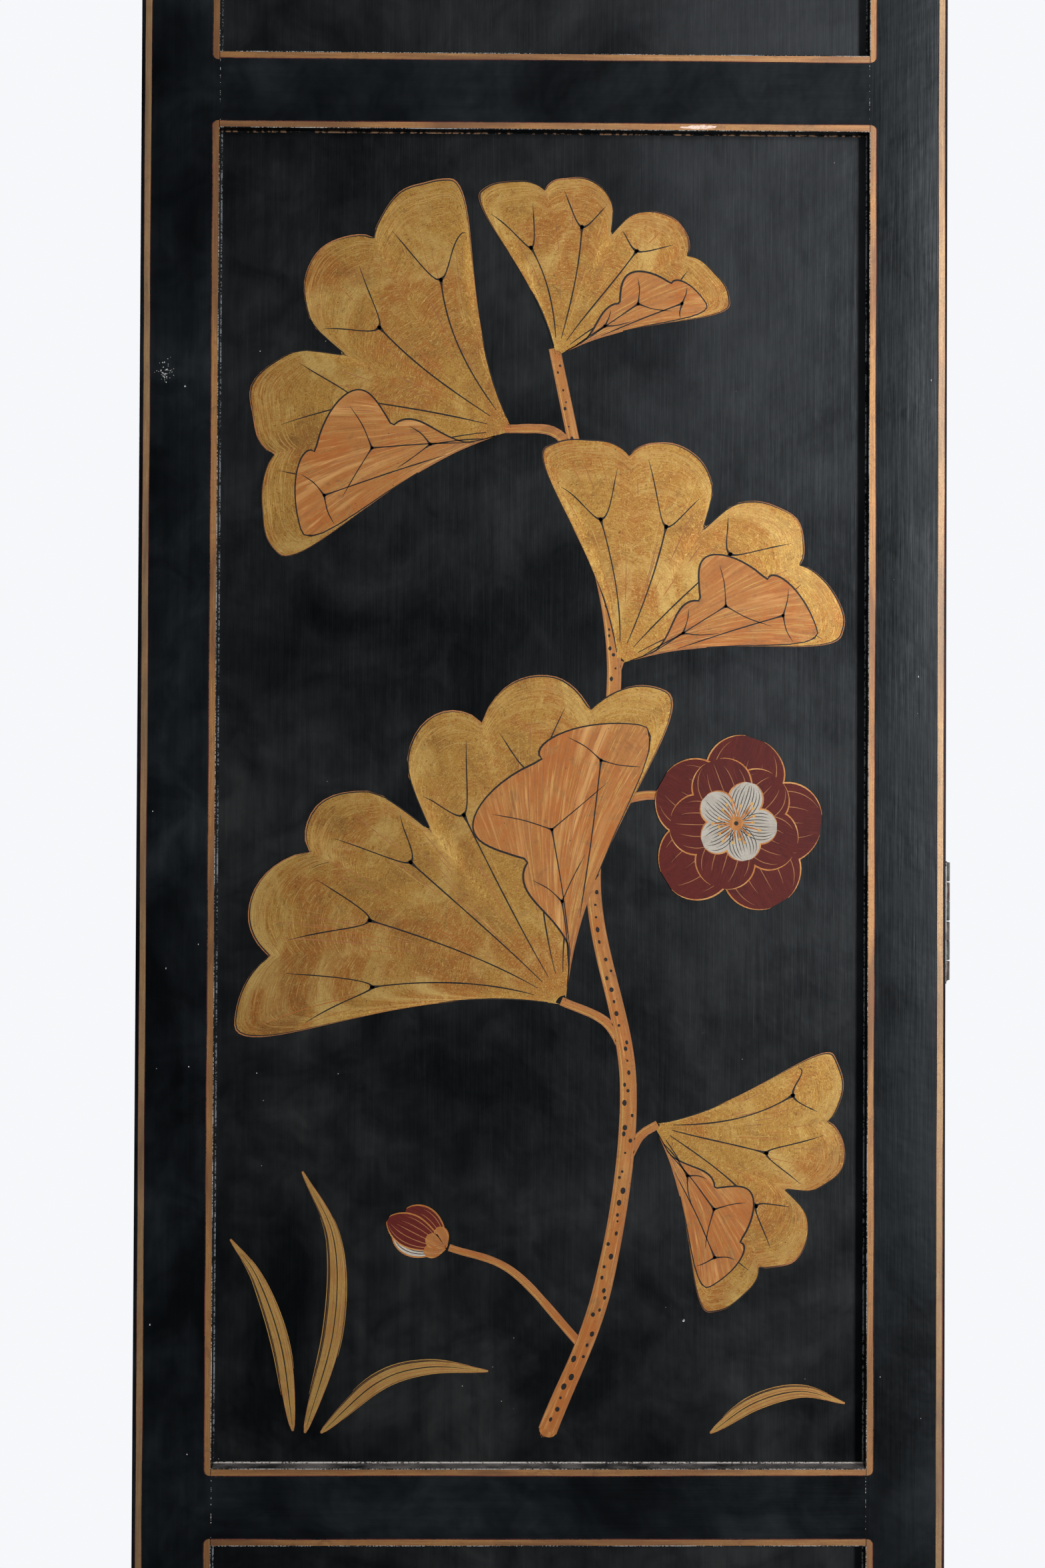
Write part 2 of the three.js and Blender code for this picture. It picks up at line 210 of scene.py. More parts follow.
class Finish(Nodes):
    """One Principled material and the nodes that feed it."""

    def __init__(self, name, metallic=0.0, specular=0.5, **sockets):
        self.material = bpy.data.materials.new(name)
        self.material.use_nodes = True
        super().__init__(self.material.node_tree)
        self.shader = self.tree.nodes["Principled BSDF"]
        sockets |= {"Metallic": metallic, "Specular_IOR_Level": specular}
        for socket, value in sockets.items():
            self.set(self.shader.inputs[socket.replace("_", " ")], value)

    def finish(self, colour, roughness, height=None, relief=0.0):
        self.set(self.shader.inputs["Base Color"], colour)
        self.set(self.shader.inputs["Roughness"], roughness)
        if height is not None:
            bump = self.node("ShaderNodeBump", {"Height": height, "Distance": relief})
            self.set(self.shader.inputs["Normal"], bump["Normal"])
        return self.material


def rgba(colour):
    return (*colour, 1.0) if isinstance(colour, tuple) and len(colour) == 3 else colour


BLACK = (0.004, 0.005, 0.0055)
DEEP_BLACK = (0.0010, 0.0016, 0.0022)
BLUE_BLOOM = (0.0120, 0.0152, 0.0182)
GREY_BLOOM = (0.0128, 0.0134, 0.0131)
# painted sheen for the boards' upper right, on the side the lamp lights
PAINTED_SIDE_SHEEN = (0.031, 0.033, 0.036)
BLUE_GLOSS = (0.86, 0.94, 1.0, 1.0)
GREY_FLECK = (0.16, 0.17, 0.17)
LEDGE_DUST = (0.26, 0.235, 0.225)
PIT = (0.03, 0.02, 0.015)

UPRIGHT = (170, 170, 7)  # how fine the rubbing is along each axis of a leaf
LEVEL = (7, 170, 170)
ALONG = (2600, 40)  # brush marks of a line, across and along it


def lacquer(name, leaf, grain, bloom, specular, roughness, low_sheen, board=False):
    """Aged black lacquer: hand-rubbed along the wood, clouded, flecked, and paler near the floor, which is
    painted sheen.

    Boards carry a painted sheen towards their upper right, on the side the lamp lights; the frame gathers
    dust where it faces upwards."""
    f = Finish(name, specular=specular, Specular_Tint=BLUE_GLOSS)
    to_leaf = LEAF_FRAMES[leaf].inverted()
    at = f.coordinates("Object", (1, 1, 1), to_leaf.translation, to_leaf.to_euler().z)
    across, _, rise = f.axes(at)
    fine = f.noise(f.mapped(at, tuple(4 * value for value in grain)), 1.0, 4.0, 0.6)
    broad = f.noise(f.mapped(at, grain), 1.0, 4.0, 0.6)
    cloud = f.noise(at, 9.0, 5.0, 0.6, 0.6)
    smudge = f.noise(at, 38.0, 4.0, 0.55, 0.9)
    bloom_and_sheen = f.times(f.span(cloud, 0.37, 0.66), f.span(smudge, 0.35, 0.65, 0.35, 1.0))
    bloom_and_sheen = f.times(bloom_and_sheen, f.span(broad, 0.3, 0.7, 0.45, 1.0))
    # painted sheen: the bloom grows paler towards the floor
    bloom_and_sheen = f.times(bloom_and_sheen, f.span(rise, 1.1, 0.7, 1.0, low_sheen))
    colour = f.mix(bloom_and_sheen, DEEP_BLACK, bloom)
    colour = f.mix(f.times(f.flecks(at, 95.0, 0.035, 0.10), 0.7), colour, GREY_FLECK)
    if board:
        # painted sheen: a paler bloom towards the board's upper right, on the side the lamp lights
        side = f.times(f.span(across, 0.15, 0.34), f.span(rise, 0.8, 1.3, 0.1, 0.75))
        side = f.times(side, f.span(cloud, 0.36, 0.62, 0.45, 1.05))
        colour = f.mix(side, colour, PAINTED_SIDE_SHEEN)
    else:
        upward = f.span(f.axes(f.node("ShaderNodeNewGeometry")["Normal"])[2], 0.6, 0.95)
        drift = f.span(f.noise(at, 46.0, 5.0, 0.65), 0.36, 0.62, 0.12, 0.95)
        drift = f.times(drift, f.span(rise, HEIGHT - 0.03, HEIGHT - 0.02, 1.0, 0.4))
        colour = f.mix(f.times(upward, drift), colour, LEDGE_DUST)
    dull = f.span(smudge, 0.3, 0.7, roughness, roughness + 0.08)
    dull = f.plus(dull, f.span(cloud, 0.36, 0.64, -0.04, 0.06))
    height = f.plus(f.times(f.noise(at, 21.0, 4.0, 0.5), 0.9), f.times(broad, 0.11))
    return f.finish(colour, dull, f.plus(height, f.times(fine, 0.035)), 1.0 * MM)


def brushed(name, tones, metallic=0.0, strokes=(1500, 60), gloss=1.3, sheen_sweep=None, fading=0.0, dabbed=False):
    """Brushed paint under a clear coat, in tones from dark to light. UV is in metres.

    strokes says how fine the brush marks are along U and V, and sweep does the same for broad pale
    bands of painted sheen. Fading darkens stretches of V, and dabbed paint is clouded and stippled all over."""
    dark, warm, middle, light = tones
    coat = {"Coat_Weight": 1.0, "Coat_Roughness": 0.4, "Coat_IOR": gloss}
    f = Finish(name, metallic, 0.15, **coat)
    at = f.coordinates("Object", (1, 1, 1))
    stroke = f.noise(f.coordinates("UV", (*strokes, 1)), 1.0, 4.0, 0.65, 0.25)
    grain = f.noise(at, 780.0, 4.0, 0.75, 1.8)
    wash = f.noise(at, 88.0, 5.0, 0.68, 1.4)
    tide = f.noise(at, 21.0, 4.0, 0.6, 0.9)
    cloud = f.plus(f.times(tide, 0.6), f.times(wash, 0.4))
    colour = f.tint(middle, warm, cloud, 0.47, 0.58)
    colour = f.tint(colour, warm, grain, 0.50, 0.60, 0.7)
    colour = f.tint(colour, dark, grain, 0.58, 0.70, 0.8)
    colour = f.tint(colour, dark, wash, 0.44, 0.32, 0.5)
    colour = f.tint(colour, dark, stroke, 0.45, 0.3, 0.4)
    shine = f.times(f.span(stroke, 0.52, 0.7, 0.0, 0.75), f.span(tide, 0.38, 0.6, 0.35, 1.0))
    colour = f.mix(shine, colour, light)
    if sheen_sweep:
        # painted sheen: broad pale bands across the paint
        sheen_band = f.noise(f.coordinates("UV", (*sheen_sweep, 1)), 1.0, 3.0, 0.55, 0.7)
        colour = f.tint(colour, light, sheen_band, 0.55, 0.68, 0.7)
    if fading:
        stretch = f.noise(f.coordinates("UV", (90, 11, 1)), 1.0, 3.0, 0.6, 0.4)
        colour = f.tint(colour, dark, stretch, 0.56, 0.36, fading)
    if dabbed:
        patch = f.noise(at, 22.0, 6.0, 0.7, 1.6)
        colour = f.tint(colour, light, patch, 0.53, 0.66, 0.6)
        colour = f.tint(colour, dark, patch, 0.47, 0.34, 0.45)
        colour = f.tint(colour, light, grain, 0.44, 0.36, 0.8)
        colour = f.tint(colour, dark, grain, 0.56, 0.64, 0.6)
    colour = f.mix(f.times(f.flecks(at, 420.0, 0.16, 0.05), 0.75), colour, PIT)
    dull = f.span(grain, 0.3, 0.7, 0.38, 0.54)
    return f.finish(colour, dull, f.plus(stroke, f.times(grain, 0.5)), 0.06 * MM)


def speckled(name, ground, spots, coverage, scale=1500.0):
    """Wear or dust that covers part of what lies under it, in grains."""
    f = Finish(name, specular=0.25)
    at = f.coordinates("Object", (1, 1, 1))
    grain = f.noise(at, scale, 3.0, 0.6)
    cover = f.plus(grain, f.span(f.noise(at, 42.0, 3.0, 0.6), 0.3, 0.7, -0.14, 0.14))
    edge = 0.68 - 0.36 * coverage
    colour = f.tint(ground, spots, cover, edge - 0.05, edge + 0.05)
    return f.finish(colour, f.span(grain, 0.3, 0.7, 0.5, 0.7), cover, 0.05 * MM)


def steel(name, dark, bright, stain):
    """Dull old steel with lacquer stains and flecks of rust."""
    f = Finish(name, metallic=0.85)
    at = f.coordinates("Object", (1, 1, 1))
    wear = f.noise(at, 260.0, 5.0, 0.65)
    drift = f.noise(f.mapped(at, (400, 400, 90)), 1.0, 4.0, 0.6)
    colour = f.tint(f.tint(dark, bright, wear, 0.3, 0.7), stain, drift, 0.55, 0.7)
    height = f.plus(wear, f.times(drift, 0.6))
    return f.finish(colour, f.span(wear, 0.3, 0.7, 0.38, 0.58), height, 0.06 * MM)


def leaf_lacquers(kind, *looks):
    """One lacquer for every leaf."""
    return [lacquer(f"{kind}_lacquer_{i + 1}", i, *looks) for i in LEAVES]


STILE_LACQUER = leaf_lacquers("stile", UPRIGHT, BLUE_BLOOM, 0.19, 0.31, 1.15)
RAIL_LACQUER = leaf_lacquers("rail", LEVEL, BLUE_BLOOM, 0.18, 0.29, 1.15)
BOARD_LACQUER = leaf_lacquers("board", UPRIGHT, GREY_BLOOM, 0.25, 0.29, 1.9, True)

GREY_STEEL = steel("grey_steel", (0.13, 0.125, 0.12), (0.34, 0.33, 0.31), (0.06, 0.05, 0.05))
SCREW_STEEL = steel("screw_steel", (0.20, 0.19, 0.175), (0.46, 0.44, 0.40), (0.10, 0.06, 0.045))
BROWN_STEEL = steel("brown_steel", (0.15, 0.12, 0.11), (0.37, 0.32, 0.29), (0.15, 0.06, 0.04))

EDGE_TONES = (0.17, 0.085, 0.030), (0.34, 0.165, 0.048), (0.41, 0.23, 0.080), (0.56, 0.38, 0.19)
BORDER_TONES = (0.17, 0.06, 0.014), (0.37, 0.15, 0.034), (0.43, 0.20, 0.050), (0.57, 0.33, 0.13)
LEAF_TONES = (0.20, 0.07, 0.012), (0.40, 0.15, 0.021), (0.45, 0.24, 0.042), (0.66, 0.45, 0.14)
RIM_TONES = (0.33, 0.15, 0.03), (0.44, 0.22, 0.05), (0.52, 0.31, 0.08), (0.68, 0.48, 0.17)
COPPER_TONES = (0.20, 0.075, 0.022), (0.41, 0.125, 0.019), (0.41, 0.165, 0.036), (0.68, 0.38, 0.13)
BROWN_TONES = (0.15, 0.05, 0.015), (0.30, 0.11, 0.035), (0.34, 0.14, 0.045), (0.46, 0.23, 0.09)
RED_TONES = (0.04, 0.003, 0.002), (0.08, 0.005, 0.0025), (0.10, 0.0065, 0.003), (0.145, 0.018, 0.010)
WHITE_TONES = (0.22, 0.185, 0.145), (0.34, 0.30, 0.25), (0.42, 0.38, 0.325), (0.52, 0.49, 0.44)
INK_TONES = (0.004, 0.003, 0.003), (0.010, 0.007, 0.006), (0.012, 0.008, 0.007), (0.02, 0.012, 0.01)

EDGE_GOLD = brushed("edge_gold", EDGE_TONES, 0.8, ALONG, 1.9, fading=0.75)
BORDER_GOLD = brushed("border_gold", BORDER_TONES, 0.75, ALONG, 1.65, fading=0.75)
PAINTS = {
    "gold": brushed("leaf_gold", LEAF_TONES, 0.85, (190, 1300), 1.35, (7, 42), dabbed=True),
    "rim": brushed("rim_gold", RIM_TONES, 0.8, ALONG, 1.4),
    "copper": brushed("copper_paint", COPPER_TONES, 0.5, (560, 34), 1.35, (70, 9)),
    "copper_line": brushed("copper_line", BROWN_TONES, 0.3),
    "red": brushed("red_paint", RED_TONES, gloss=1.15),
    "white": brushed("white_paint", WHITE_TONES, strokes=(2600, 90)),
    "ink": brushed("ink_line", INK_TONES),
}
RED_BOLE = speckled("red_bole", (0.012, 0.006, 0.006), (0.10, 0.018, 0.014), 0.62)
CHIP_GROUND = speckled("chip_ground", (0.62, 0.40, 0.30), (0.80, 0.62, 0.52), 0.5)
PALE_FLECK = speckled("pale_fleck", (0.20, 0.20, 0.19), (0.55, 0.55, 0.53), 0.6)
RUBBED_ARRIS = speckled("rubbed_arris", BLACK, (0.28, 0.28, 0.27), 0.40, 1300.0)
# what fills the corners round a board, by the side of the recess; the left and the right ones are painted
# light, paler on the left, which faces the lamp, and greyer on the right
SEAMS = {
    # painted highlight on the seam that faces the lamp
    "left": speckled("left_seam_painted_highlight", BLACK, (0.15, 0.16, 0.17), 0.42, 900.0),
    # painted light, dimmer, on the seam that faces away from the lamp
    "right": speckled("right_seam_painted_light", BLACK, (0.11, 0.115, 0.12), 0.5, 900.0),
    "top": speckled("brown_seam", BLACK, (0.20, 0.11, 0.06), 0.42, 500.0),
    "foot": speckled("dust_seam", (0.05, 0.045, 0.045), (0.48, 0.44, 0.40), 0.62, 1100.0),
}


# ---------------- reliefs
class Relief:
    """One piece made of thin closed slabs on a face of a leaf, in the leaf's own axes.

    ground is the y of that face, which is a front one."""

    def __init__(self, leaf, name, material, slot="frame_lacquer", ground=0.0):
        self.name = f"panel_{leaf + 1}_{name}"
        self.leaf = leaf
        self.material = material
        self.slot = slot
        self.ground = ground
        self.points = []
        self.faces = []
        self.uvs = []

    def slab(self, grid, height, uv):
        """Adds a closed slab whose top is a grid of (x, z) points, rows by columns."""
        rows, columns = grid.shape[:2]
        half = rows * columns
        index = len(self.points) + np.arange(half).reshape(rows, columns)
        for level in (height, -SEAT):
            self.points += [(x, self.ground - level, z) for x, z in grid.reshape(-1, 2)]
            self.uvs += uv.reshape(-1, 2).tolist()
        corners = (index[:-1, :-1], index[:-1, 1:], index[1:, 1:], index[1:, :-1])
        tops = np.stack(corners, axis=-1).reshape(-1, 4)
        rim = np.concatenate([index[0], index[1:, -1], index[-1, -2::-1], index[-2:0:-1, 0]])
        ahead = np.roll(rim, -1)
        sides = np.stack([ahead, rim, rim + half, ahead + half], axis=-1)
        for part in (tops, tops[:, ::-1] + half, sides):
            self.faces += part.tolist()

    def ribbon(self, path, widths, height, columns=2):
        """A slab along a path of (x, z) points, with a width at every point."""
        grid, uv = ribbon_grid(path, widths, columns)
        self.slab(grid, height, uv)

    def dot(self, x, z, across, along, height, turn=0.0):
        self.ribbon(*dab(x, z, across, along, turn, 0.47), height)

    def prism(self, section, start, end):
        """A bar from start to end along x or z; section is its (x or z offset, y) outline."""
        along_x = abs(end[0] - start[0]) > abs(end[1] - start[1])
        outlines = []
        for x, z in (start, end):
            outlines.append([(x, y, z + off) if along_x else (x + off, y, z) for off, y in section])
            self.uvs += [(off, z if along_x else x) for off, _ in section]
        loft(self.points, self.faces, *outlines)

    def finish(self):
        if not self.points:
            return
        mesh = bpy.data.meshes.new(self.name)
        mesh.from_pydata(self.points, [], self.faces)
        layer = mesh.uv_layers.new(name="strokes")
        corners = np.zeros(len(mesh.loops), dtype=np.int64)
        mesh.loops.foreach_get("vertex_index", corners)
        layer.data.foreach_set("uv", np.array(self.uvs)[corners].ravel())
        hang(mesh, self.leaf, self.material)


def loft(points, faces, first, last):
    """Adds a closed solid between two outlines with as many corners each."""
    start, count = len(points), len(first)
    points += [*first, *last]
    faces.append(tuple(range(start, start + count)))
    faces.append(tuple(range(start + 2 * count - 1, start + count - 1, -1)))
    for i in range(count):
        a, b = start + i, start + (i + 1) % count
        faces.append((b, a, a + count, b + count))


def add(name, data):
    """A new object in the scene."""
    made = bpy.data.objects.new(name, data)
    bpy.context.scene.collection.objects.link(made)
    return made


def hang(mesh, leaf, material):
    """Puts a mesh made in a leaf's own axes on that leaf, with its faces pointing out."""
    mesh.transform(LEAF_FRAMES[leaf])
    work = bmesh.new()
    work.from_mesh(mesh)
    bmesh.ops.recalc_face_normals(work, faces=work.faces)
    work.to_mesh(mesh)
    work.free()
    mesh.materials.append(material)
    piece = add(mesh.name, mesh)
    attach(piece, f"leaf_{leaf + 1}")


def heading(turn):
    """Unit vectors turned clockwise from upright."""
    return np.stack([np.sin(turn), np.cos(turn)], axis=-1)


def sideways(path):
    """Unit vectors that point to the right of a path."""
    along = np.gradient(path, axis=0)
    along /= np.linalg.norm(along, axis=1)[:, None]
    return np.stack([along[:, 1], -along[:, 0]], axis=1)


def distances(path):
    """How far along a path each of its points is."""
    return np.concatenate([[0], np.cumsum(np.linalg.norm(np.diff(path, axis=0), axis=1))])


def ribbon_grid(path, widths, columns):
    """Points and UVs of a strip that follows a path, with a row at each of the path's points."""
    path = np.asarray(path, float)
    run = distances(path)
    across = np.linspace(-0.5, 0.5, columns)[None, :] * np.broadcast_to(widths, len(path))[:, None]
    grid = path[:, None, :] + sideways(path)[:, None, :] * across[:, :, None]
    return grid, np.stack([across, np.broadcast_to(run[:, None], across.shape)], axis=2)


def dab(x, y, across, along, turn, point):
    """Path and widths of an oval dab; the nearer point is to 0.5, the more pointed its ends."""
    angle = np.linspace(-point, point, 7) * math.pi
    path = np.array([x, y]) + np.sin(angle)[:, None] * heading(turn) * along / 2
    return path, np.cos(angle) * across


def curve(points, step=3.0):
    """A smooth path through the points (Catmull-Rom), with a point about every step."""
    points = np.asarray(points, float)
    ends = [2 * points[0] - points[1], *points, 2 * points[-1] - points[-2]]
    path = []
    for a, b, c, d in zip(ends, ends[1:], ends[2:], ends[3:]):
        count = max(2, int(np.linalg.norm(c - b) / step))
        t = np.arange(count)[:, None] / count
        square = (2 * a - 5 * b + 4 * c - d) * t**2
        path.append(0.5 * (2 * b + (c - a) * t + square + (3 * b - a - 3 * c + d) * t**3))
    return np.concatenate([*path, points[-1:]])


def wander(at, spacing, size, rng):
    """A smooth random offset along a line, with a new value every spacing."""
    knots = np.arange(at.min() - spacing, at.max() + 2 * spacing, spacing)
    values = rng.uniform(-size, size, len(knots))
    place = (at - knots[0]) / spacing
    left = np.floor(place).astype(int)
    blend = place - left
    blend = blend * blend * (3 - 2 * blend)
    return values[left] * (1 - blend) + values[left + 1] * blend


# ---------------- gold border lines
def stations(start, end):
    """Where along a line its points are."""
    return np.linspace(start, end, max(3, int(abs(end - start) / LINE_STEP)))


def unsteady(run, rng, *waves):
    """How far a hand-drawn edge strays; each wave is its spacing and its size, in millimetres."""
    return sum(wander(run, spacing * MM, size * MM, rng) for spacing, size in waves)


def gilded(gold, bole, run, near, far, upright, spill):
    """A gold line between two edges that wander, on a ground that shows beside it.

    run is where along the line each station is; near and far are the edges' places across it;
    spill is how far the ground shows beyond the near and the far edge."""
    edges = np.stack([np.stack([near, run], 1), np.stack([far, run], 1)], axis=1)
    wider = edges + np.array([[-spill[0], 0], [spill[1], 0]])
    for relief, height, grid in ((bole, BOLE, wider), (gold, PAINT, edges)):
        relief.slab(grid if upright else grid[..., ::-1], height, edges)


def outer_lines(gold, bole, rng):
    """The upright gold lines along a leaf's left and right edge."""
    right = WIDTH - RIGHT_LINE_MARGIN - LINE_WIDTH
    for margin, far_spill in ((LEFT_LINE_MARGIN, 0.25 * MM), (right, 0.5 * MM)):
        run = stations(1.0 * MM, HEIGHT - 1.0 * MM)
        near = margin + unsteady(run, rng, (60, 0.12), (12, 0.05))
        far = near + LINE_WIDTH + unsteady(run, rng, (45, 0.16))
        gilded(gold, bole, run, near, far, True, (0.2 * MM, far_spill))


def recess_border(gold, bole, foot, top, rng):
    """Gold round one recess. The stiles' lines round the outer corners; the rails' stop at the joint."""
    outer = BARE_ARRIS + LINE_WIDTH
    for x, sign in ((STILE, -1), (WIDTH - STILE, 1)):
        overrun = rng.uniform(0.0, 2.4, 2) * MM
        low = foot - outer - overrun[0] * (sign < 0) + CORNER_RADIUS
        high = top + outer + overrun[1] * 0.2 - CORNER_RADIUS
        tips = CORNER_RADIUS * np.sin(np.linspace(0, 0.49 * math.pi, 7))
        run = np.concatenate([low - tips[:0:-1], stations(low, high), high + tips[1:]])
        past = np.maximum(np.maximum(low - run, run - high), 0)
        cut = CORNER_RADIUS - np.sqrt(np.maximum(CORNER_RADIUS**2 - past**2, 0))
        edge = outer - cut + unsteady(run, rng, (40, 0.18), (9, 0.06))
        inside = BARE_ARRIS + unsteady(run, rng, (15, 0.07))
        gilded(gold, bole, run, x + sign * inside, x + sign * edge, True, (0, sign * BOLE_SPILL))
    for z, sign in ((foot, -1), (top, 1)):
        run = stations(STILE, WIDTH - STILE)
        edge = outer + unsteady(run, rng, (50, 0.2), (11, 0.06))
        inside = BARE_ARRIS + unsteady(run, rng, (18, 0.07))
        gilded(gold, bole, run, z + sign * inside, z + sign * edge, False, (0, sign * BOLE_SPILL))


def border_lines(leaf):
    rng = np.random.default_rng(100 + leaf)
    edge = Relief(leaf, "gold_edge_lines", EDGE_GOLD)
    border = Relief(leaf, "gold_borders", BORDER_GOLD)
    bole = Relief(leaf, "gold_ground", RED_BOLE)
    outer_lines(edge, bole, rng)
    for _, foot, top in FIELDS:
        recess_border(border, bole, foot, top, rng)
    for relief in (edge, border, bole):
        relief.finish()


# ---------------- seams, rubbed edges and films
def recess_sides(foot, top):
    """The four edges of a recess: name, which way the recess lies, start and end."""
    left, right = STILE, WIDTH - STILE
    return (
        ("left", 1, (left, foot), (left, top)),
        ("right", -1, (right, foot), (right, top)),
        ("top", -1, (left, top), (right, top)),
        ("foot", 1, (left, foot), (right, foot)),
    )


def field_seams(leaf, name, foot, top):
    """Fills the four corners round a board, on both of its faces."""

    def corner(sign, board, lean):
        return [(-sign * SEAT, board - lean), (-sign * SEAT, board + SEAT), (sign * SEAM, board + SEAT)]

    back = Relief(leaf, f"{name}_seam_back", BOARD_LACQUER[leaf], "board_lacquer")
    for side, sign, start, end in recess_sides(foot, top):
        seam = Relief(leaf, f"{name}_seam_{side}", SEAMS[side], "board_lacquer")
        seam.prism(corner(sign, BOARD_FRONT, SEAM), start, end)
        seam.finish()
        back.prism(corner(sign, BOARD_BACK, -SEAM), start, end)
    back.finish()


def rubbed_edges(leaf):
    """Lacquer rubbed off the arrises of the recesses, between the gold and the edge."""
    rubbed = Relief(leaf, "rubbed_arrises", RUBBED_ARRIS)
    for _, foot, top in FIELDS:
        for _, sign, start, end in recess_sides(foot, top):
            lip = ((-BARE_ARRIS, -BOLE), (2 * SEAT, -BOLE), (2 * SEAT, BARE_ARRIS))
            section = (*lip, (-SEAT, BARE_ARRIS), (-BARE_ARRIS, SEAT))
            rubbed.prism([(sign * offset, y) for offset, y in section], start, end)
    rubbed.finish()


def joint_films(leaf):
    """The lacquer that bridges the joints of rails and stiles, with pale wear along the hairlines."""
    rng = np.random.default_rng(200 + leaf)
    film = Relief(leaf, "joint_films", STILE_LACQUER[leaf])
    wear = Relief(leaf, "joint_wear", PALE_FLECK)
    for foot, top in RAILS:
        for x in (STILE + FILM_OFFSET, WIDTH - STILE - FILM_OFFSET):
            for y, out in ((0, -1), (THICKNESS, 1)):
                near, deep = y + out * BOLE / 2, y - out * FILM_HALF
                section = [(-FILM_HALF, near), (FILM_HALF, near), (FILM_HALF, deep), (-FILM_HALF, deep)]
                film.prism(section, (x, foot), (x, top - SEAT))
            for z in rng.uniform(foot + MM, top - MM, JOINT_MARKS):
                wear.dot(x, z, rng.uniform(0.08, 0.24) * MM, rng.uniform(0.2, 0.9) * MM, BOLE)
    film.finish()
    wear.finish()


# ---------------- chips and scuffs
# places on the first leaf; the other leaves draw theirs
FLAKE_AT = 280 * MM
SCUFF_AT = (13 * MM, MAIN_CENTRE + 212 * MM)
PIT_AT = (276 * MM, MAIN_CENTRE - 264 * MM)


def ragged(relief, x, z, length, width, height, rng):
    """A level ragged patch."""
    run = np.linspace(-0.5, 0.5, 15)
    body = np.sqrt(np.maximum(0.25 - run**2, 0.004)) * 2
    path = np.stack([x + run * length, z + rng.uniform(-0.12, 0.12, 15) * width], 1)
    relief.ribbon(path, body * width * rng.uniform(0.5, 1.1, 15), height)


def chips(leaf):
    """Flakes off the gold and the board, and one rubbed patch on the left stile."""
    rng = np.random.default_rng(300 + leaf)
    draw = rng.uniform
    flake = Relief(leaf, "gold_chip", CHIP_GROUND)
    at = FLAKE_AT if leaf == 0 else draw(0.2, 0.8) * WIDTH
    level = MAIN_TOP + BARE_ARRIS + LINE_WIDTH * 0.45
    ragged(flake, at, level, 18 * MM, 2.1 * MM, PAINT * 1.4, rng)
    ragged(flake, at + 5 * MM, level + 0.5 * MM, 9 * MM, 2.2 * MM, PAINT * 1.6, rng)
    flake.finish()

    scuff = Relief(leaf, "scuff", PALE_FLECK)
    centre = SCUFF_AT if leaf == 0 else (draw(8, 30) * MM, draw(0.3, 0.8) * HEIGHT)
    for _ in range(46):
        x, z = rng.normal(centre[0], 2.6 * MM), rng.normal(centre[1], 3.6 * MM)
        size = draw(0.2, 0.62) * MM
        scuff.dot(x, z, size, size * draw(0.8, 1.8), BOLE, draw(-0.6, 0.9))
    scuff.dot(centre[0] + 10 * MM, centre[1] - 7 * MM, 0.9 * MM, 0.9 * MM, BOLE)
    for _ in range(14):
        x = rng.choice([draw(8, 34), WIDTH / MM - draw(8, 34)]) * MM
        size = draw(0.2, 0.45) * MM
        scuff.dot(x, draw(0.1, 0.95) * HEIGHT, size, size * draw(1, 3), BOLE)
    scuff.finish()

    pit = Relief(leaf, "board_chip", PALE_FLECK, "board_lacquer", BOARD_FRONT)
    spot = PIT_AT if leaf == 0 else (draw(0.3, 0.7) * WIDTH, draw(0.4, 0.45) * HEIGHT)
    pit.dot(*spot, 1.1 * MM, 1.5 * MM, BOLE, 0.5)
    for _ in range(16):
        size = draw(0.2, 0.4) * MM
        x, z = draw(STILE, WIDTH - STILE), draw(MAIN_FOOT, MAIN_TOP)
        pit.dot(x, z, size, size * 1.3, BOLE, draw(0, 3))
    pit.finish()


# ---------------- the paintings
# Heights of the coats, in millimetres above the board
COATS = {"stalk": 0.05, "branch": 0.08, "spot": 0.10, "outline": 0.12, "face": 0.15, "stroke": 0.17}
COATS |= {"vein": 0.19, "fold": 0.22, "fold_vein": 0.25, "flower": 0.30}
LAYER = 0.2  # a motif that overlaps another lies this much higher
FAN_COLUMNS = 121
FAN_ROWS = 14
FOLD_ROWS = 80
THIN = (0.2, 0.2)  # ends of a loose hair of paint


class Painting:
    """The reliefs of one field, with one piece for every colour. Sizes are in millimetres."""

    def __init__(self, leaf, name, foot, mirrored, seed):
        self.width = FIELD_WIDTH / MM
        self.origin = np.array([STILE, foot])
        self.mirrored = mirrored
        self.rng = np.random.default_rng(seed)
        self.reliefs = {
            key: Relief(leaf, f"{name}_{key}", material, "board_lacquer", BOARD_FRONT)
            for key, material in PAINTS.items()
        }

    def vary(self, low, high):
        return self.rng.uniform(low, high)

    def slab(self, colour, grid, height, uv):
        if self.mirrored:
            grid = np.stack([self.width - grid[..., 0], grid[..., 1]], axis=-1)
        self.reliefs[colour].slab(self.origin + grid * MM, height * MM, uv * MM)

    def ribbon(self, colour, path, widths, height, columns=2):
        grid, uv = ribbon_grid(path, widths, columns)
        self.slab(colour, grid, height, uv)

    def line(self, colour, path, width, height, ends=(0.3, 0.3), knots=(0.0, 0.0)):
        """A brush line, thinned at its ends to shares of its width; a knot thickens an end."""
        t = np.linspace(0, 1, len(path))
        length = distances(path)[-1]
        body = width * np.interp(t, (0, 0.2, 0.75, 1), (ends[0], 1, 1, ends[1]))
        body = body * (1 + 0.16 * wander(t, 0.12, 1.0, self.rng))
        swell = knots[0] * np.exp(-t * length / 1.6) + knots[1] * np.exp((t - 1) * length / 1.6)
        self.ribbon(colour, path, body + swell, height)

    def dot(self, colour, x, y, size, height, stretch=1.0, turn=0.0):
        self.ribbon(colour, *dab(x, y, size, size * stretch, turn, 0.46), height)

    def finish(self):
        for relief in self.reliefs.values():
            relief.finish()


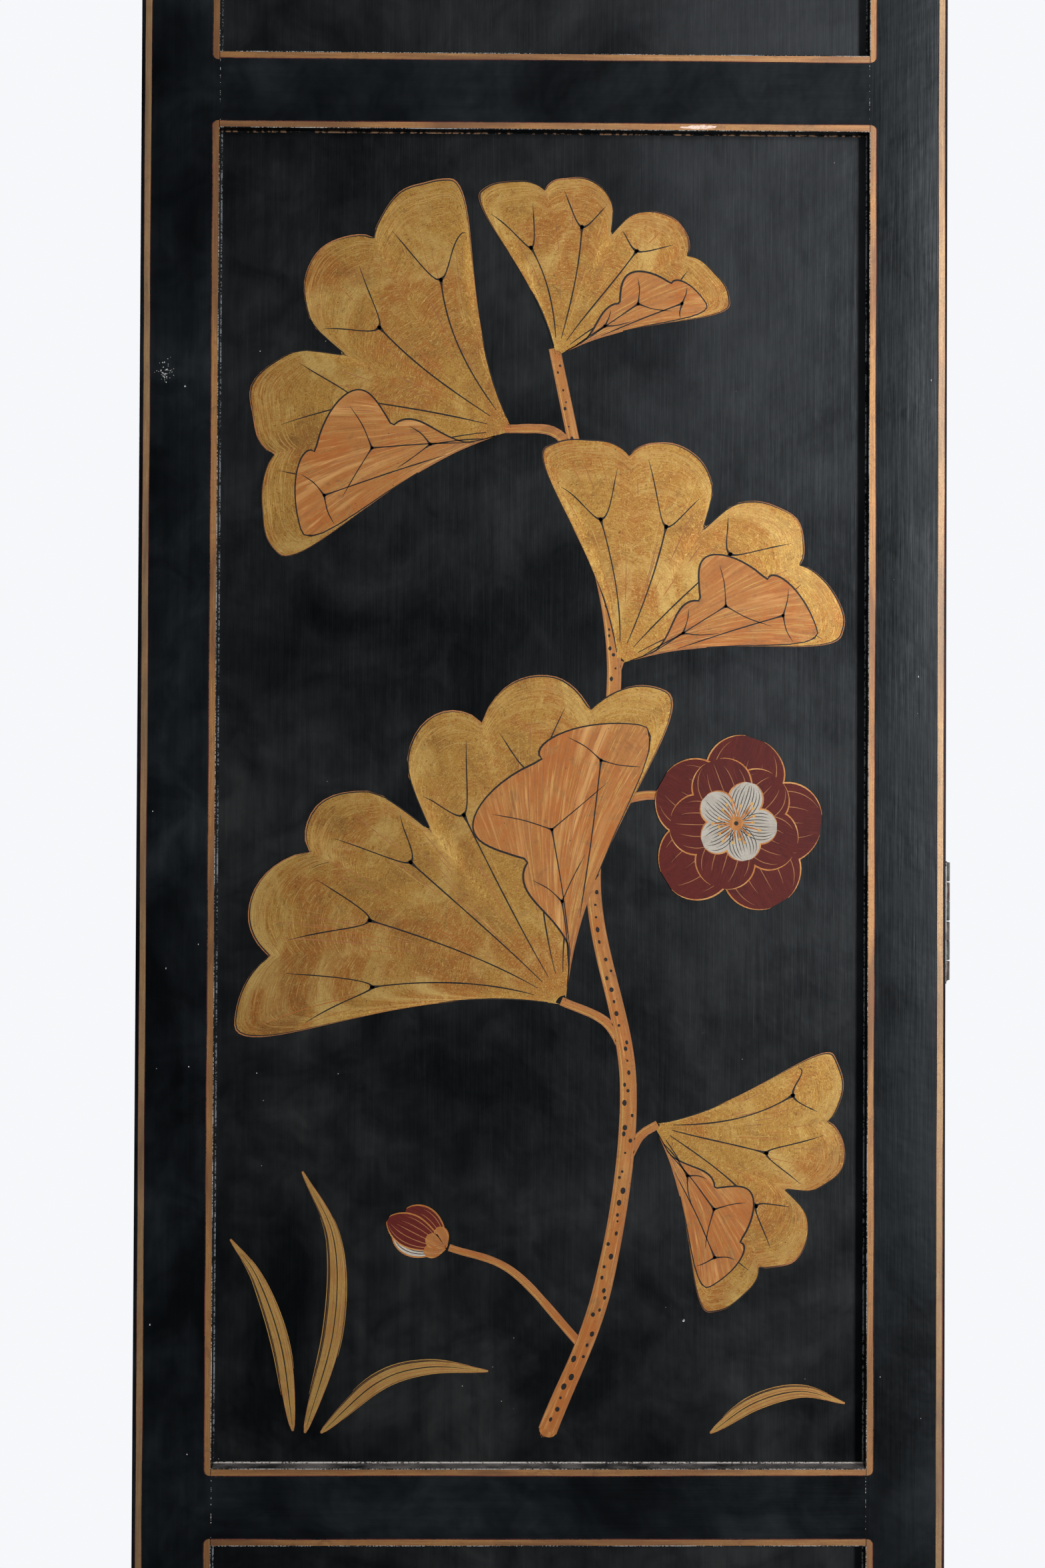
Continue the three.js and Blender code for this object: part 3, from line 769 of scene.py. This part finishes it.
class Fan:
    """A ginkgo leaf. s runs across it from -1 to 1, and t from its foot to its margin.

    fold is how much of one side is turned over, and its sign says which side."""

    def __init__(self, painting, x, y, size, turn, lobes, cleft, spread, fold, layer=0):
        self.painting = painting
        self.foot = np.array([x, y])
        self.size = size
        self.turn = math.radians(turn)
        self.spread = math.radians(spread)
        self.lobes = lobes
        self.fold = fold
        self.lift = layer * LAYER
        self.s = np.sin(np.linspace(-0.5, 0.5, FAN_COLUMNS) * math.pi)
        self.dips, self.corner = self.margin(cleft)
        self.face()
        self.strokes()
        self.veins()
        self.outline()
        self.turned_side()

    def margin(self, cleft):
        """How deep the dips between round lobes and the middle cleft are, and the round corners."""
        s = self.s
        arch = np.power(np.abs(np.sin(math.pi * self.lobes * (s + 1) / 2)), 0.7)
        dips = 0.1 * (1 - arch)
        dips += cleft * (0.55 * np.exp(-((s / 0.04) ** 2)) + 0.45 * np.exp(-((s / 0.16) ** 2)))
        dips += 0.012 * wander(s, 0.11, 1.0, self.painting.rng)
        corner = np.sqrt(1 - 0.85 * np.clip((np.abs(s) - 0.84) / 0.16, 0, 1) ** 2)
        return dips, corner

    def at(self, s, t, grow=0.0, dips=True):
        """Points of the leaf, with its sides and margin grown outwards a little."""
        s, t = np.broadcast_arrays(np.asarray(s, float), np.asarray(t, float))
        share = t * np.interp(s, self.s, self.corner)
        if dips:
            share = share * (1 - np.interp(s, self.s, self.dips) * np.power(t, 1.5))
        reach = share * self.size + grow * t
        angle = self.turn + s * (self.spread + grow / self.size) * (0.64 + 0.36 * share)
        return self.foot + reach[..., None] * heading(angle)

    def ink(self, path, width, coat, *shape):
        self.painting.line("ink", path, width, COATS[coat] + self.lift, *shape)

    def face(self):
        s, t = np.meshgrid(self.s, np.linspace(0.03, 1, FAN_ROWS))
        rim = self.at(s, t, 0.8)
        uv = np.stack([s * self.spread * self.size * 0.6, t * self.size], axis=-1)
        self.painting.slab("copper_line", rim, COATS["outline"] + self.lift, rim)
        self.painting.slab("gold", self.at(s, t), COATS["face"] + self.lift, uv)

    def strokes(self):
        """Lighter strokes along the margin and fine darker ones that run up the leaf."""
        p = self.painting
        heights = self.lift + np.array([COATS["stroke"] - 0.012, COATS["stroke"] + 0.008])
        for _ in range(int(1.5 * self.size)):
            t = 0.985 - abs(p.rng.normal(0, 0.05))
            half = p.vary(4, 11) / (self.size * self.spread)
            middle = p.vary(-0.95 + half, 0.95 - half)
            path = self.at(np.linspace(middle - half, middle + half, 7), t)
            p.line("rim", path, p.vary(0.2, 0.55), p.vary(*heights), THIN)
        for _ in range(int(0.45 * self.size)):
            start = p.vary(0.2, 0.8)
            end = min(start + p.vary(0.06, 0.3), 0.97)
            path = self.at(p.vary(-0.93, 0.93), np.linspace(start, end, 6))
            colour = p.rng.choice(["copper_line", "rim", "copper"])
            p.line(colour, path, p.vary(0.25, 0.5), p.vary(*heights), THIN)

    def veins(self):
        """A vein to each lobe; it forks on its way to the margin, with a dab at the fork."""
        p = self.painting
        for i in range(self.lobes):
            middle = -1 + (2 * i + 1) / self.lobes
            fork = p.vary(0.58, 0.74)
            bow = p.vary(-0.04, 0.04)
            t = np.linspace(0.1, fork, 22)
            trunk = self.at(middle * (0.88 + 0.12 * t / fork) + bow * np.sin(math.pi * t / fork), t)
            self.ink(trunk, 0.7, "vein", (0.5, 1.0), (0.0, 1.3))
            way = self.turn + middle * self.spread
            p.dot("ink", *trunk[-1], 1.9, COATS["vein"] + self.lift, 1.25, way)
            for side in (-1, 1):
                t = np.linspace(0, 1, 14)
                end = p.vary(0.86, 0.95)
                s = middle + side * p.vary(0.5, 0.74) / self.lobes * np.power(t, 0.7)
                limb = self.at(s, fork + (end - fork) * np.power(t, 1.35))
                self.ink(limb, 0.6, "vein", (1.0, 0.25), (1.1, 0.0))

    def outline(self):
        """Loose dark lines along the margin and the sides, that leave gaps."""
        for low, high in ((-0.97, -0.42), (-0.36, 0.3), (0.36, 0.97)):
            path = self.at(np.linspace(low, high, 48), 1.0, self.painting.vary(-0.1, 0.6))
            self.ink(path, 0.6, "vein", THIN)
        for side in (-1, 1):
            path = self.at(side * 0.995, np.linspace(0.12, 0.93, 24), 0.2)
            self.ink(path, 0.65, "vein", (0.6, 0.25))

    def turned_side(self):
        """One side of the leaf turned over, so that its copper underside shows."""
        p = self.painting
        side = 1 if self.fold > 0 else -1
        run = (1 - np.cos(np.linspace(0, math.pi, FOLD_ROWS))) / 2
        t = 0.16 + 0.735 * run
        scallop = 0.74 + 0.32 * np.power(np.abs(np.sin(2.5 * math.pi * run)), 0.75)
        depth = abs(self.fold) * np.power(np.sin(math.pi * np.power(run, 1.15)), 0.6) * scallop
        s = side * (1.0 - np.linspace(0, 1, 9)[None, :] * depth[:, None] - 0.004)
        grid = self.at(s, t[:, None], dips=False)
        uv = np.stack([s * self.spread * 0.6, np.broadcast_to(t[:, None], s.shape)], axis=-1) * self.size
        height = COATS["fold_vein"] + self.lift
        p.slab("copper", grid, COATS["fold"] + self.lift, uv)
        self.ink(grid[:, -1], 0.9, "fold_vein", (0.5, 0.5))
        p.line("copper_line", grid[:, 0], 0.8, height, (0.5, 0.5))
        for place in (0.3, 0.5, 0.7):
            row = int(place * FOLD_ROWS)
            fork = grid[row, 4]
            root = self.at(side * 0.97, t[max(row - 25, 0)], dips=False)
            self.fold_vein(root, fork, 0.6, 0.6, (0.3, 1), (0, 1.1))
            p.dot("ink", *fork, 1.6, height)
            for column, ahead, bow in ((7, 6, 0.8), (2, 11, -0.8)):
                tip = grid[min(row + ahead, FOLD_ROWS - 2), column]
                self.fold_vein(fork, tip, bow, 0.5, (1, 0.25), (0.9, 0))
        for _ in range(int(1.1 * self.size)):
            row = int(p.rng.integers(8, FOLD_ROWS - 6))
            across = p.vary(0.06, 0.94) * depth[row]
            reach = [k for k in range(row, FOLD_ROWS) if across < 0.97 * depth[k]]
            rows = reach[: int(p.rng.integers(5, 16))]
            if len(rows) > 2:
                path = self.at(side * (0.996 - across), t[rows], dips=False)
                level = height - p.vary(0.004, 0.016)
                p.line(p.rng.choice(["rim", "copper_line"]), path, 0.3, level, THIN)

    def fold_vein(self, start, end, bow, width, *shape):
        """A bowed vein on the turned side."""
        self.ink(curve([start, (start + end) / 2 + bow, end], 1.2), width, "fold_vein", *shape)


def stalk(p, *points, width=4.5):
    """A plain copper stalk that thins a little."""
    brush_stem(p, points, width, width * 0.75, COATS["stalk"])


def branch(p, *points, width=8.5, tip=5.0):
    """A copper branch that tapers, with dark spots like those on bark."""
    path, widths = brush_stem(p, points, width, tip, COATS["branch"])
    run = distances(path)
    at = 6.0
    while at < run[-1] - 4:
        i = int(np.searchsorted(run, at))
        along = path[i] - path[i - 1]
        along /= np.linalg.norm(along)
        side = np.array([along[1], -along[0]])
        x, y = path[i] + side * p.vary(-0.28, 0.28) * widths[i]
        size = p.vary(0.14, 0.34) * widths[i]
        p.dot("ink", x, y, size, COATS["spot"], p.vary(1, 1.5), math.atan2(*along))
        at += p.vary(3.5, 8.5)


def brush_stem(p, points, width, tip, height):
    """A copper stem with a darker rim, loose hairs at its foot and a line along either side."""
    path = curve(points)
    t = np.linspace(0, 1, len(path))
    widths = np.interp(t, (0, 1), (width, tip)) * (1 + 0.06 * wander(t, 0.07, 1.0, p.rng))
    p.ribbon("copper_line", path, widths + 0.9, height - 0.02)
    p.ribbon("copper", path, widths, height, 3)
    back = math.atan2(*(path[0] - path[1]))
    p.dot("copper", *path[0], width * 1.02, height - 0.006, 0.7, back)
    way = heading(back)
    for _ in range(int(width)):
        foot = path[0] + p.vary(-0.5, 0.5) * width * heading(back + math.pi / 2)
        hair = np.linspace(foot - 6 * way, foot + p.vary(0.15, 0.55) * width * way, 5)
        p.line("copper_line", hair, p.vary(0.4, 0.9), height - 0.01, (0.4, 0.3))
    for side, colour in ((-0.36, "rim"), (0.36, "copper_line")):
        p.line(colour, path + sideways(path) * (side * widths)[:, None], 0.5, height + 0.01)
    return path, widths


def blade(p, *points, width=8.0):
    """A slender grass blade with a dark midrib and a drawn-out tip."""
    height = COATS["stalk"]
    path = curve(points)
    count = len(path)
    t = np.linspace(0, 1, count)
    widths = width * np.maximum(np.sin(math.pi * np.power(t, 0.8)), 0.0) ** 0.8 + 0.3
    p.ribbon("copper_line", path, widths + 0.7, height - 0.02)
    p.ribbon("rim", path, widths, height - 0.01, 3)
    p.line("ink", path[1:-3], 0.5, height + 0.01, (0.3, 0.2))
    shades = ((-0.62, "rim"), (-0.48, "ink"), (-0.2, "copper_line"), (0.25, "copper_line"), (0.58, "rim"))
    for side, colour in shades:
        start, stop = int(p.vary(0.05, 0.3) * count), int(p.vary(0.75, 1.0) * count)
        part = slice(start, max(stop, start + 4))
        hair = path[part] + sideways(path)[part] * (side * widths[part] + 0.3 * side)[:, None]
        p.line(colour, hair, 0.45, height + 0.012 + 0.01 * abs(side), THIN)


def petal(p, x, y, angle, length, width, colour, height, bend, blunt, widest=0.8):
    """One petal from (x, y), with its outline under it and fine lines along it."""
    t = (1 - np.cos(np.linspace(0, math.pi, 26))) / 2
    turn = angle + bend * (t - 0.3)
    step = np.gradient(t)[:, None] * length
    path = np.array([x, y]) + np.cumsum(heading(turn) * step, axis=0)
    shape = np.power(np.sin(math.pi * (0.02 + 0.96 * np.power(t, 1 / widest))), blunt)
    p.ribbon("copper", path, shape * width + 1.3, height - 0.02, 7)
    grid, uv = ribbon_grid(path, shape * width - 0.3, 11)
    p.slab(colour, grid, height, uv)
    thread, every = ("ink", 1) if colour == "white" else ("copper_line", 2)
    for column in range(1, 10, every):
        start, stop = p.rng.integers(2, 8), p.rng.integers(17, 23)
        p.line(thread, grid[start:stop, column], 0.38, height + 0.015, (0.6, 0.15))


def blossom(p, x, y, size, turn, layer):
    """An open flower: two whorls of red petals, white inner ones, and copper stamens."""
    height = COATS["flower"] + layer * LAYER
    turn = math.radians(turn)
    # each whorl's turn in petals, length and width as shares of the size, colour and bluntness
    whorls = ((0.0, 1.0, 0.98, "red", 0.5), (0.5, 0.72, 0.74, "red", 0.5), (0.15, 0.46, 0.42, "white", 0.55))
    for level, (offset, reach, width, colour, blunt) in enumerate(whorls):
        for i in (0, 2, 4, 1, 3):
            angle = turn + (i + offset) * 2 * math.pi / 5 + p.vary(-0.12, 0.12)
            length = size * reach * p.vary(0.92, 1.06)
            lift = height + 0.09 * level + 0.014 * i
            petal(p, x, y, angle, length, size * width * 0.9, colour, lift, p.vary(-0.35, 0.35), blunt)
    height += 0.28
    for i in range(18):
        angle = turn + i * math.pi / 9 + p.vary(-0.12, 0.12)
        tip = np.array([x, y]) + size * p.vary(0.18, 0.3) * heading(angle)
        p.line("copper", np.linspace([x, y], tip, 5), 0.7, height, (1.0, 0.8))
        p.dot("rim", *tip, 1.6, height + 0.02)
    p.dot("copper", x, y, size * 0.16, height + 0.03)
    p.dot("ink", x, y, size * 0.05, height + 0.05)


def bud(p, x, y, size, turn):
    """A closed bud in its calyx."""
    turn = math.radians(turn)
    height = COATS["flower"] + LAYER
    petal(p, x, y, turn - 0.34, size * 0.86, size * 0.44, "white", height, 0.6, 0.7)
    petal(p, x, y, turn + 0.34, size * 0.86, size * 0.46, "red", height + 0.03, -0.6, 0.7)
    petal(p, x, y, turn - 0.08, size, size * 0.5, "red", height + 0.06, 0.1, 0.7)
    for i, lean in enumerate((-0.75, 0.75, 0.0)):
        lift = height + 0.09 + 0.02 * i
        petal(p, x, y, turn + lean, size * 0.34, size * 0.2, "copper", lift, -lean, 0.8, 0.7)


def rising_bough(p):
    """Main field: a bough that rises behind large fans, with a flower on its right."""
    blade(p, (40, 16), (34, 58), (22, 92), (8, 112), width=7)
    blade(p, (46, 15), (60, 66), (60, 112), (44, 146))
    blade(p, (54, 15), (82, 40), (108, 48), (138, 46), width=7)
    blade(p, (250, 15), (272, 30), (296, 36), (318, 30), width=6)
    stalk(p, (206, 150), (214, 164), (223, 170))
    stalk(p, (207, 206), (196, 222), (174, 232))
    stalk(p, (198, 380), (200, 394), (203, 404))
    stalk(p, (180, 508), (168, 520), (144, 521))
    stalk(p, (194, 330), (220, 336), (246, 328), width=4)
    stalk(p, (184, 60), (150, 96), (118, 108), width=3.5)
    branch(p, (168, 16), (196, 90), (208, 190), (190, 290), (200, 400), (186, 480), (169, 562))
    Fan(p, 221, 170, 98, 116, 4, 0.16, 56, 0.78)
    Fan(p, 176, 230, 166, -38, 6, 0.24, 66, 0.78, 1)
    Fan(p, 202, 402, 116, 32, 4, 0.22, 60, 0.82)
    Fan(p, 148, 520, 134, -66, 4, 0.22, 62, -0.78, 1)
    Fan(p, 170, 558, 92, 24, 4, 0.18, 58, 0.62, 2)
    blossom(p, 262, 322, 45, 12, 2)
    bud(p, 116, 108, 32, -60)


def bending_bough(p):
    """Main field: a bough that comes in at the top and bends down to two flowers."""
    blade(p, (206, 15), (196, 60), (172, 96), (140, 112), width=7)
    blade(p, (214, 15), (226, 66), (250, 104), (290, 124))
    blade(p, (222, 15), (254, 38), (286, 44), (316, 36), width=7)
    stalk(p, (166, 529), (156, 524), (144, 515))
    stalk(p, (186, 500), (196, 505), (205, 512))
    stalk(p, (204, 400), (196, 382), (186, 372))
    stalk(p, (204, 360), (210, 344), (214, 332))
    stalk(p, (152, 262), (140, 250), (128, 246))
    stalk(p, (140, 240), (168, 204), (206, 186), width=4)
    stalk(p, (84, 598), (106, 622), (130, 630), width=3.5)
    branch(p, (34, 636), (84, 598), (150, 545), (196, 470), (206, 380), (180, 300), (136, 236))
    Fan(p, 148, 518, 124, -112, 4, 0.2, 60, 0.7)
    Fan(p, 203, 510, 112, 48, 4, 0.2, 60, 0.78)
    Fan(p, 215, 334, 104, 104, 4, 0.18, 56, -0.78)
    Fan(p, 188, 374, 142, -78, 6, 0.22, 62, -0.78, 1)
    Fan(p, 130, 248, 118, -140, 4, 0.2, 58, 0.7, 1)
    blossom(p, 226, 176, 46, -20, 2)
    bud(p, 132, 630, 28, 70)


def crossing_spray(p):
    """Upper field: a spray that rises from the left, with a flower under it."""
    stalk(p, (94, 96), (112, 92), (128, 84))
    stalk(p, (150, 154), (146, 166), (138, 178))
    stalk(p, (208, 226), (222, 226), (232, 222), width=4)
    stalk(p, (236, 284), (232, 298), (224, 306))
    stalk(p, (120, 124), (180, 92), (224, 88), width=4)
    branch(p, (40, 44), (76, 82), (150, 152), (214, 236), (244, 320), (246, 356))
    Fan(p, 232, 222, 90, 96, 4, 0.18, 56, 0.78)
    Fan(p, 140, 176, 134, -26, 4, 0.24, 56, -0.78, 1)
    Fan(p, 226, 304, 108, -12, 4, 0.2, 58, 0.78, 2)
    blossom(p, 242, 84, 44, 30, 1)
    bud(p, 130, 83, 28, 104)


def upright_spray(p):
    """Upper field: an upright spray with fans to either side."""
    stalk(p, (170, 96), (156, 108), (144, 112))
    stalk(p, (168, 148), (184, 158), (196, 166))
    stalk(p, (160, 236), (150, 246), (140, 250))
    stalk(p, (178, 76), (214, 66), (246, 68), width=4)
    branch(p, (174, 40), (178, 90), (162, 190), (166, 270), (160, 300))
    Fan(p, 146, 110, 124, -76, 4, 0.22, 60, 0.78)
    Fan(p, 196, 164, 118, 44, 4, 0.22, 62, 0.7)
    Fan(p, 142, 250, 122, -52, 4, 0.2, 60, -0.78, 1)
    Fan(p, 162, 298, 96, 30, 4, 0.2, 58, 0.62, 2)
    blossom(p, 262, 70, 44, 0, 1)


def low_spray(p):
    """Lower field: a short spray over tall grass."""
    blade(p, (60, 14), (50, 100), (24, 150), (8, 168))
    blade(p, (68, 14), (80, 96), (76, 160), (60, 214))
    blade(p, (76, 14), (106, 58), (140, 74), (170, 74), width=7)
    blade(p, (262, 14), (280, 54), (298, 74), (318, 82), width=7)
    stalk(p, (222, 150), (200, 168), (182, 172))
    stalk(p, (224, 230), (226, 242), (224, 252))
    stalk(p, (206, 300), (190, 312), (172, 314))
    stalk(p, (216, 96), (238, 120), (262, 126), width=4)
    branch(p, (190, 14), (214, 90), (228, 180), (214, 280), (196, 372))
    Fan(p, 184, 170, 144, -50, 6, 0.22, 62, 0.78)
    Fan(p, 224, 250, 98, 50, 4, 0.2, 58, 0.78)
    Fan(p, 174, 314, 130, -70, 4, 0.2, 58, -0.72, 1)
    Fan(p, 197, 368, 100, 22, 4, 0.2, 58, 0.7, 2)
    blossom(p, 272, 126, 42, 40, 1)


def leaning_spray(p):
    """Lower field: a spray that leans across, with a flower below."""
    blade(p, (244, 14), (252, 90), (276, 150), (314, 176))
    blade(p, (236, 14), (228, 70), (206, 112), (172, 132), width=7)
    blade(p, (226, 14), (196, 40), (166, 46), (134, 40), width=6)
    stalk(p, (84, 150), (110, 142), (134, 144), width=4)
    stalk(p, (112, 214), (124, 208), (136, 204))
    stalk(p, (150, 286), (146, 298), (138, 304))
    stalk(p, (186, 336), (198, 336), (206, 332))
    branch(p, (46, 14), (70, 110), (112, 214), (170, 314), (214, 404))
    Fan(p, 134, 206, 128, 72, 4, 0.22, 62, -0.72)
    Fan(p, 204, 334, 106, 92, 4, 0.2, 58, 0.78)
    Fan(p, 140, 302, 130, -36, 4, 0.22, 60, 0.7, 1)
    Fan(p, 208, 392, 74, 20, 4, 0.2, 58, 0.62, 2)
    blossom(p, 154, 142, 42, 10, 1)
    stalk(p, (86, 156), (62, 176), (50, 202), width=3.5)
    bud(p, 50, 200, 28, -20)


DESIGNS = {
    "upper": (crossing_spray, upright_spray),
    "main": (rising_bough, bending_bough),
    "lower": (low_spray, leaning_spray),
}


def paint(leaf, name, foot):
    """Every other leaf has the same designs, mirrored and brushed anew on the second pair."""
    painting = Painting(leaf, name, foot, leaf >= 2, 500 + 10 * leaf + len(name))
    DESIGNS[name][leaf % 2](painting)
    painting.finish()


# ---------------- dressing the frame
def smooth_by_angle():
    """A modifier's node group that shades an object smooth, except across its sharp edges."""
    group = bpy.data.node_groups.new("smooth_by_angle", "GeometryNodeTree")
    for way in ("INPUT", "OUTPUT"):
        group.interface.new_socket("Geometry", in_out=way, socket_type="NodeSocketGeometry")
    g = Nodes(group)
    angle = g.node("GeometryNodeInputMeshEdgeAngle")["Unsigned Angle"]
    blunt = g.node("FunctionNodeCompare", {0: angle, 1: SMOOTH_BELOW}, operation="LESS_THAN")["Result"]
    shade = "GeometryNodeSetShadeSmooth"
    mesh = g.node("NodeGroupInput")[0]
    mesh = g.node(shade, {"Geometry": mesh, "Shade Smooth": blunt}, domain="EDGE")[0]
    mesh = g.node(shade, {"Geometry": mesh}, domain="FACE")[0]
    g.node("NodeGroupOutput", {0: mesh})
    return group


def soften(node, group, bevel):
    """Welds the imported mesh's corners, breaks its sharp edges and shades it smooth."""
    node.modifiers.new("weld", "WELD").merge_threshold = WELD
    if bevel:
        edge = node.modifiers.new("edge", "BEVEL")
        edge.width = bevel
        edge.segments = 2
        edge.angle_limit = BEVEL_ABOVE
    node.modifiers.new("smooth", "NODES").node_group = group


def dress_frame():
    group = smooth_by_angle()
    for name, node in frame["nodes"].items():
        slot = node.material_slots[0]
        if name.startswith("hinge"):
            slot.material = GREY_STEEL if "pinned" in name else BROWN_STEEL
            soften(node, group, HINGE_BEVEL)
            continue
        leaf = int(name.split("_")[1]) - 1
        if "stile" in name:
            slot.material = STILE_LACQUER[leaf]
            soften(node, group, 0)
        else:
            slot.material = (RAIL_LACQUER if "rail" in name else BOARD_LACQUER)[leaf]


def screw_head(points, faces, centre, outward, turn):
    """A slotted countersunk head: a cone, and on it a half to each side of the slot."""
    depths = (HEAD_SUNK, SLOT_DEPTH, HEAD_DEPTH)
    radii = np.interp(depths, (HEAD_SUNK, HEAD_DEPTH), (HEAD_RADIUS, SHANK_RADIUS))

    def outline(level, low, high, steps):
        x = centre[0] - outward * depths[level]
        angles = turn + np.linspace(low, high, steps)
        y = centre[1] + radii[level] * np.cos(angles)
        z = centre[2] + radii[level] * np.sin(angles)
        return [(x, *place) for place in zip(y, z)]

    whole = (0, 2 * math.pi * (1 - 1 / HEAD_SIDES), HEAD_SIDES)
    loft(points, faces, outline(1, *whole), outline(2, *whole))
    for half in (0, math.pi):
        arcs = []
        for level in (0, 1):
            reach = math.acos(SLOT_WIDTH / 2 / radii[level])
            arcs.append(outline(level, half - reach, half + reach, HEAD_SIDES // 2))
        loft(points, faces, *arcs)


def hinge_screws(joint, leaf):
    """The screws of the hinge plates that a leaf carries at one of its joints."""
    rng = np.random.default_rng(400 + 10 * joint + leaf)
    pin = LEAF_FRAMES[leaf].inverted() @ Vector(frame["joints"][joint]["pos_m"])
    outward = 1 if leaf == joint else -1
    face = pin.x - outward * PLATE_TO_PIN
    inward = -1 if pin.y > THICKNESS / 2 else 1
    for place in ("top", "middle", "bottom"):
        low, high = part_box(f"hinge_{joint + 1}_{place}_pinned_leaf")
        points, faces = [], []
        for i, stagger in enumerate((SCREW_STAGGER, -SCREW_STAGGER, SCREW_STAGGER)):
            y = pin.y + inward * (SCREW_REACH + stagger)
            z = (low.z + high.z) / 2 + (i - 1) * SCREW_SPACING
            screw_head(points, faces, (face, y, z), outward, rng.uniform(0, math.pi))
        mesh = bpy.data.meshes.new(f"hinge_{joint + 1}_{place}_screws_leaf_{leaf + 1}")
        mesh.from_pydata(points, [], faces)
        hang(mesh, leaf, SCREW_STEEL)


def dress_leaf(leaf):
    border_lines(leaf)
    rubbed_edges(leaf)
    joint_films(leaf)
    chips(leaf)
    for name, foot, top in FIELDS:
        field_seams(leaf, name, foot, top)
        paint(leaf, name, foot)


# ---------------- stage, light and camera
PALE = (0.92, 0.93, 0.955)
FLOOR_RADIUS = 6.0
FLOOR_PLAIN = 0.45  # the floor keeps its shading out to here, and fades to the backdrop after it
FLOOR_FADE = 1.25
FLOOR_TONES = (0.84, 0.85, 0.87), (0.88, 0.89, 0.91)

CAMERA_ACROSS = 0.1738  # from the leaf's left edge
CAMERA_DISTANCE = 1.3  # from its front face
CAMERA_RISE = 0.0657  # above the middle of the main field
CAMERA_TURN = (90.848, 0.277, -0.841)  # up, roll, round
LENS = 59.48
LENS_SHIFT = -0.1

# direction from the main field towards the lamp, distance, size, power
KEY = (0.50, -1.0, 0.11), 5.0, (0.6, 2.6), 166.0
BACK = (-0.5, 1.0, 0.35), 3.0, (1.3, 1.3), 50.0
AMBIENT = 0.5


def floor_material():
    """A pale floor that keeps its shadows near the screen and meets the backdrop further out."""
    f = Finish("pale_floor", specular=0.1)
    at = f.coordinates("Object", (1, 1, 0))
    reach = f.node("ShaderNodeVectorMath", {0: at}, operation="LENGTH")["Value"]
    fade = f.span(reach, FLOOR_PLAIN, FLOOR_FADE)
    seen = f.node("ShaderNodeLightPath")["Is Camera Ray"]
    grain = f.noise(at, 300.0, 2.0)
    f.finish(f.mix(f.span(grain, 0.3, 0.7), *FLOOR_TONES), 0.8)
    glow = f.node("ShaderNodeEmission", {"Color": rgba(PALE)})[0]
    inputs = {0: f.times(fade, seen), 1: f.shader.outputs[0], 2: glow}
    blend = f.node("ShaderNodeMixShader", inputs)[0]
    f.set(f.tree.nodes["Material Output"].inputs["Surface"], blend)
    return f.material


def add_floor():
    mesh = bpy.data.meshes.new("floor")
    work = bmesh.new()
    bmesh.ops.create_circle(work, cap_ends=True, segments=96, radius=FLOOR_RADIUS)
    work.to_mesh(mesh)
    work.free()
    mesh.materials.append(floor_material())
    floor = add("floor", mesh)
    floor.visible_glossy = False


def add_world():
    """Plain grey light all round. The pale backdrop shows to the camera, and to glossy and
    transmission rays on the side behind the screen; the room before it is dark."""
    world = bpy.data.worlds.new("studio")
    world.use_nodes = True
    world.cycles.sampling_method = "NONE"
    w = Nodes(world.node_tree)
    ray = w.node("ShaderNodeLightPath")
    way = w.node("ShaderNodeTexCoord")["Generated"]
    behind = w.span(w.axes(way)[1], -0.1, 0.6, 0.02, 0.9)
    glossy = w.math("MAXIMUM", ray["Is Glossy Ray"], ray["Is Transmission Ray"])
    shown = w.node("ShaderNodeMix", {0: glossy, 2: AMBIENT, 3: behind})[0]
    seen = w.node("ShaderNodeMix", {0: ray["Is Camera Ray"], 2: shown, 3: 1.0})[0]
    background = w.tree.nodes["Background"].inputs
    w.set(background["Color"], rgba(PALE))
    w.set(background["Strength"], seen)
    bpy.context.scene.world = world


def add_lamp(name, direction, distance, size, power):
    light = bpy.data.lights.new(name, "AREA")
    light.shape = "RECTANGLE"
    light.size, light.size_y = size
    light.energy = power
    lamp = add(name, light)
    way = Vector(direction).normalized()
    lamp.location = Vector((0, 0, MAIN_CENTRE)) + way * distance
    lamp.rotation_euler = way.to_track_quat("Z", "Y").to_euler()
    lamp.visible_camera = False


def add_camera():
    data = bpy.data.cameras.new("camera")
    data.lens = LENS
    data.shift_y = LENS_SHIFT
    camera = add("camera", data)
    up, roll, turn = (math.radians(value) for value in CAMERA_TURN)
    aim = Matrix.Rotation(turn, 4, "Z") @ Matrix.Rotation(up, 4, "X") @ Matrix.Rotation(roll, 4, "Z")
    across = LEFT_STILE[0].x + CAMERA_ACROSS
    place = Vector((across, FRONT - CAMERA_DISTANCE, MAIN_CENTRE + CAMERA_RISE))
    camera.matrix_world = Matrix.Translation(place) @ aim
    bpy.context.scene.camera = camera


add_camera()
dress_frame()
for leaf_index in LEAVES:
    dress_leaf(leaf_index)
for joint_index in range(len(frame["joints"])):
    hinge_screws(joint_index, joint_index)
    hinge_screws(joint_index, joint_index + 1)
add_floor()
add_world()
add_lamp("key", *KEY)
add_lamp("back", *BACK)
bpy.context.scene.view_settings.view_transform = "Standard"
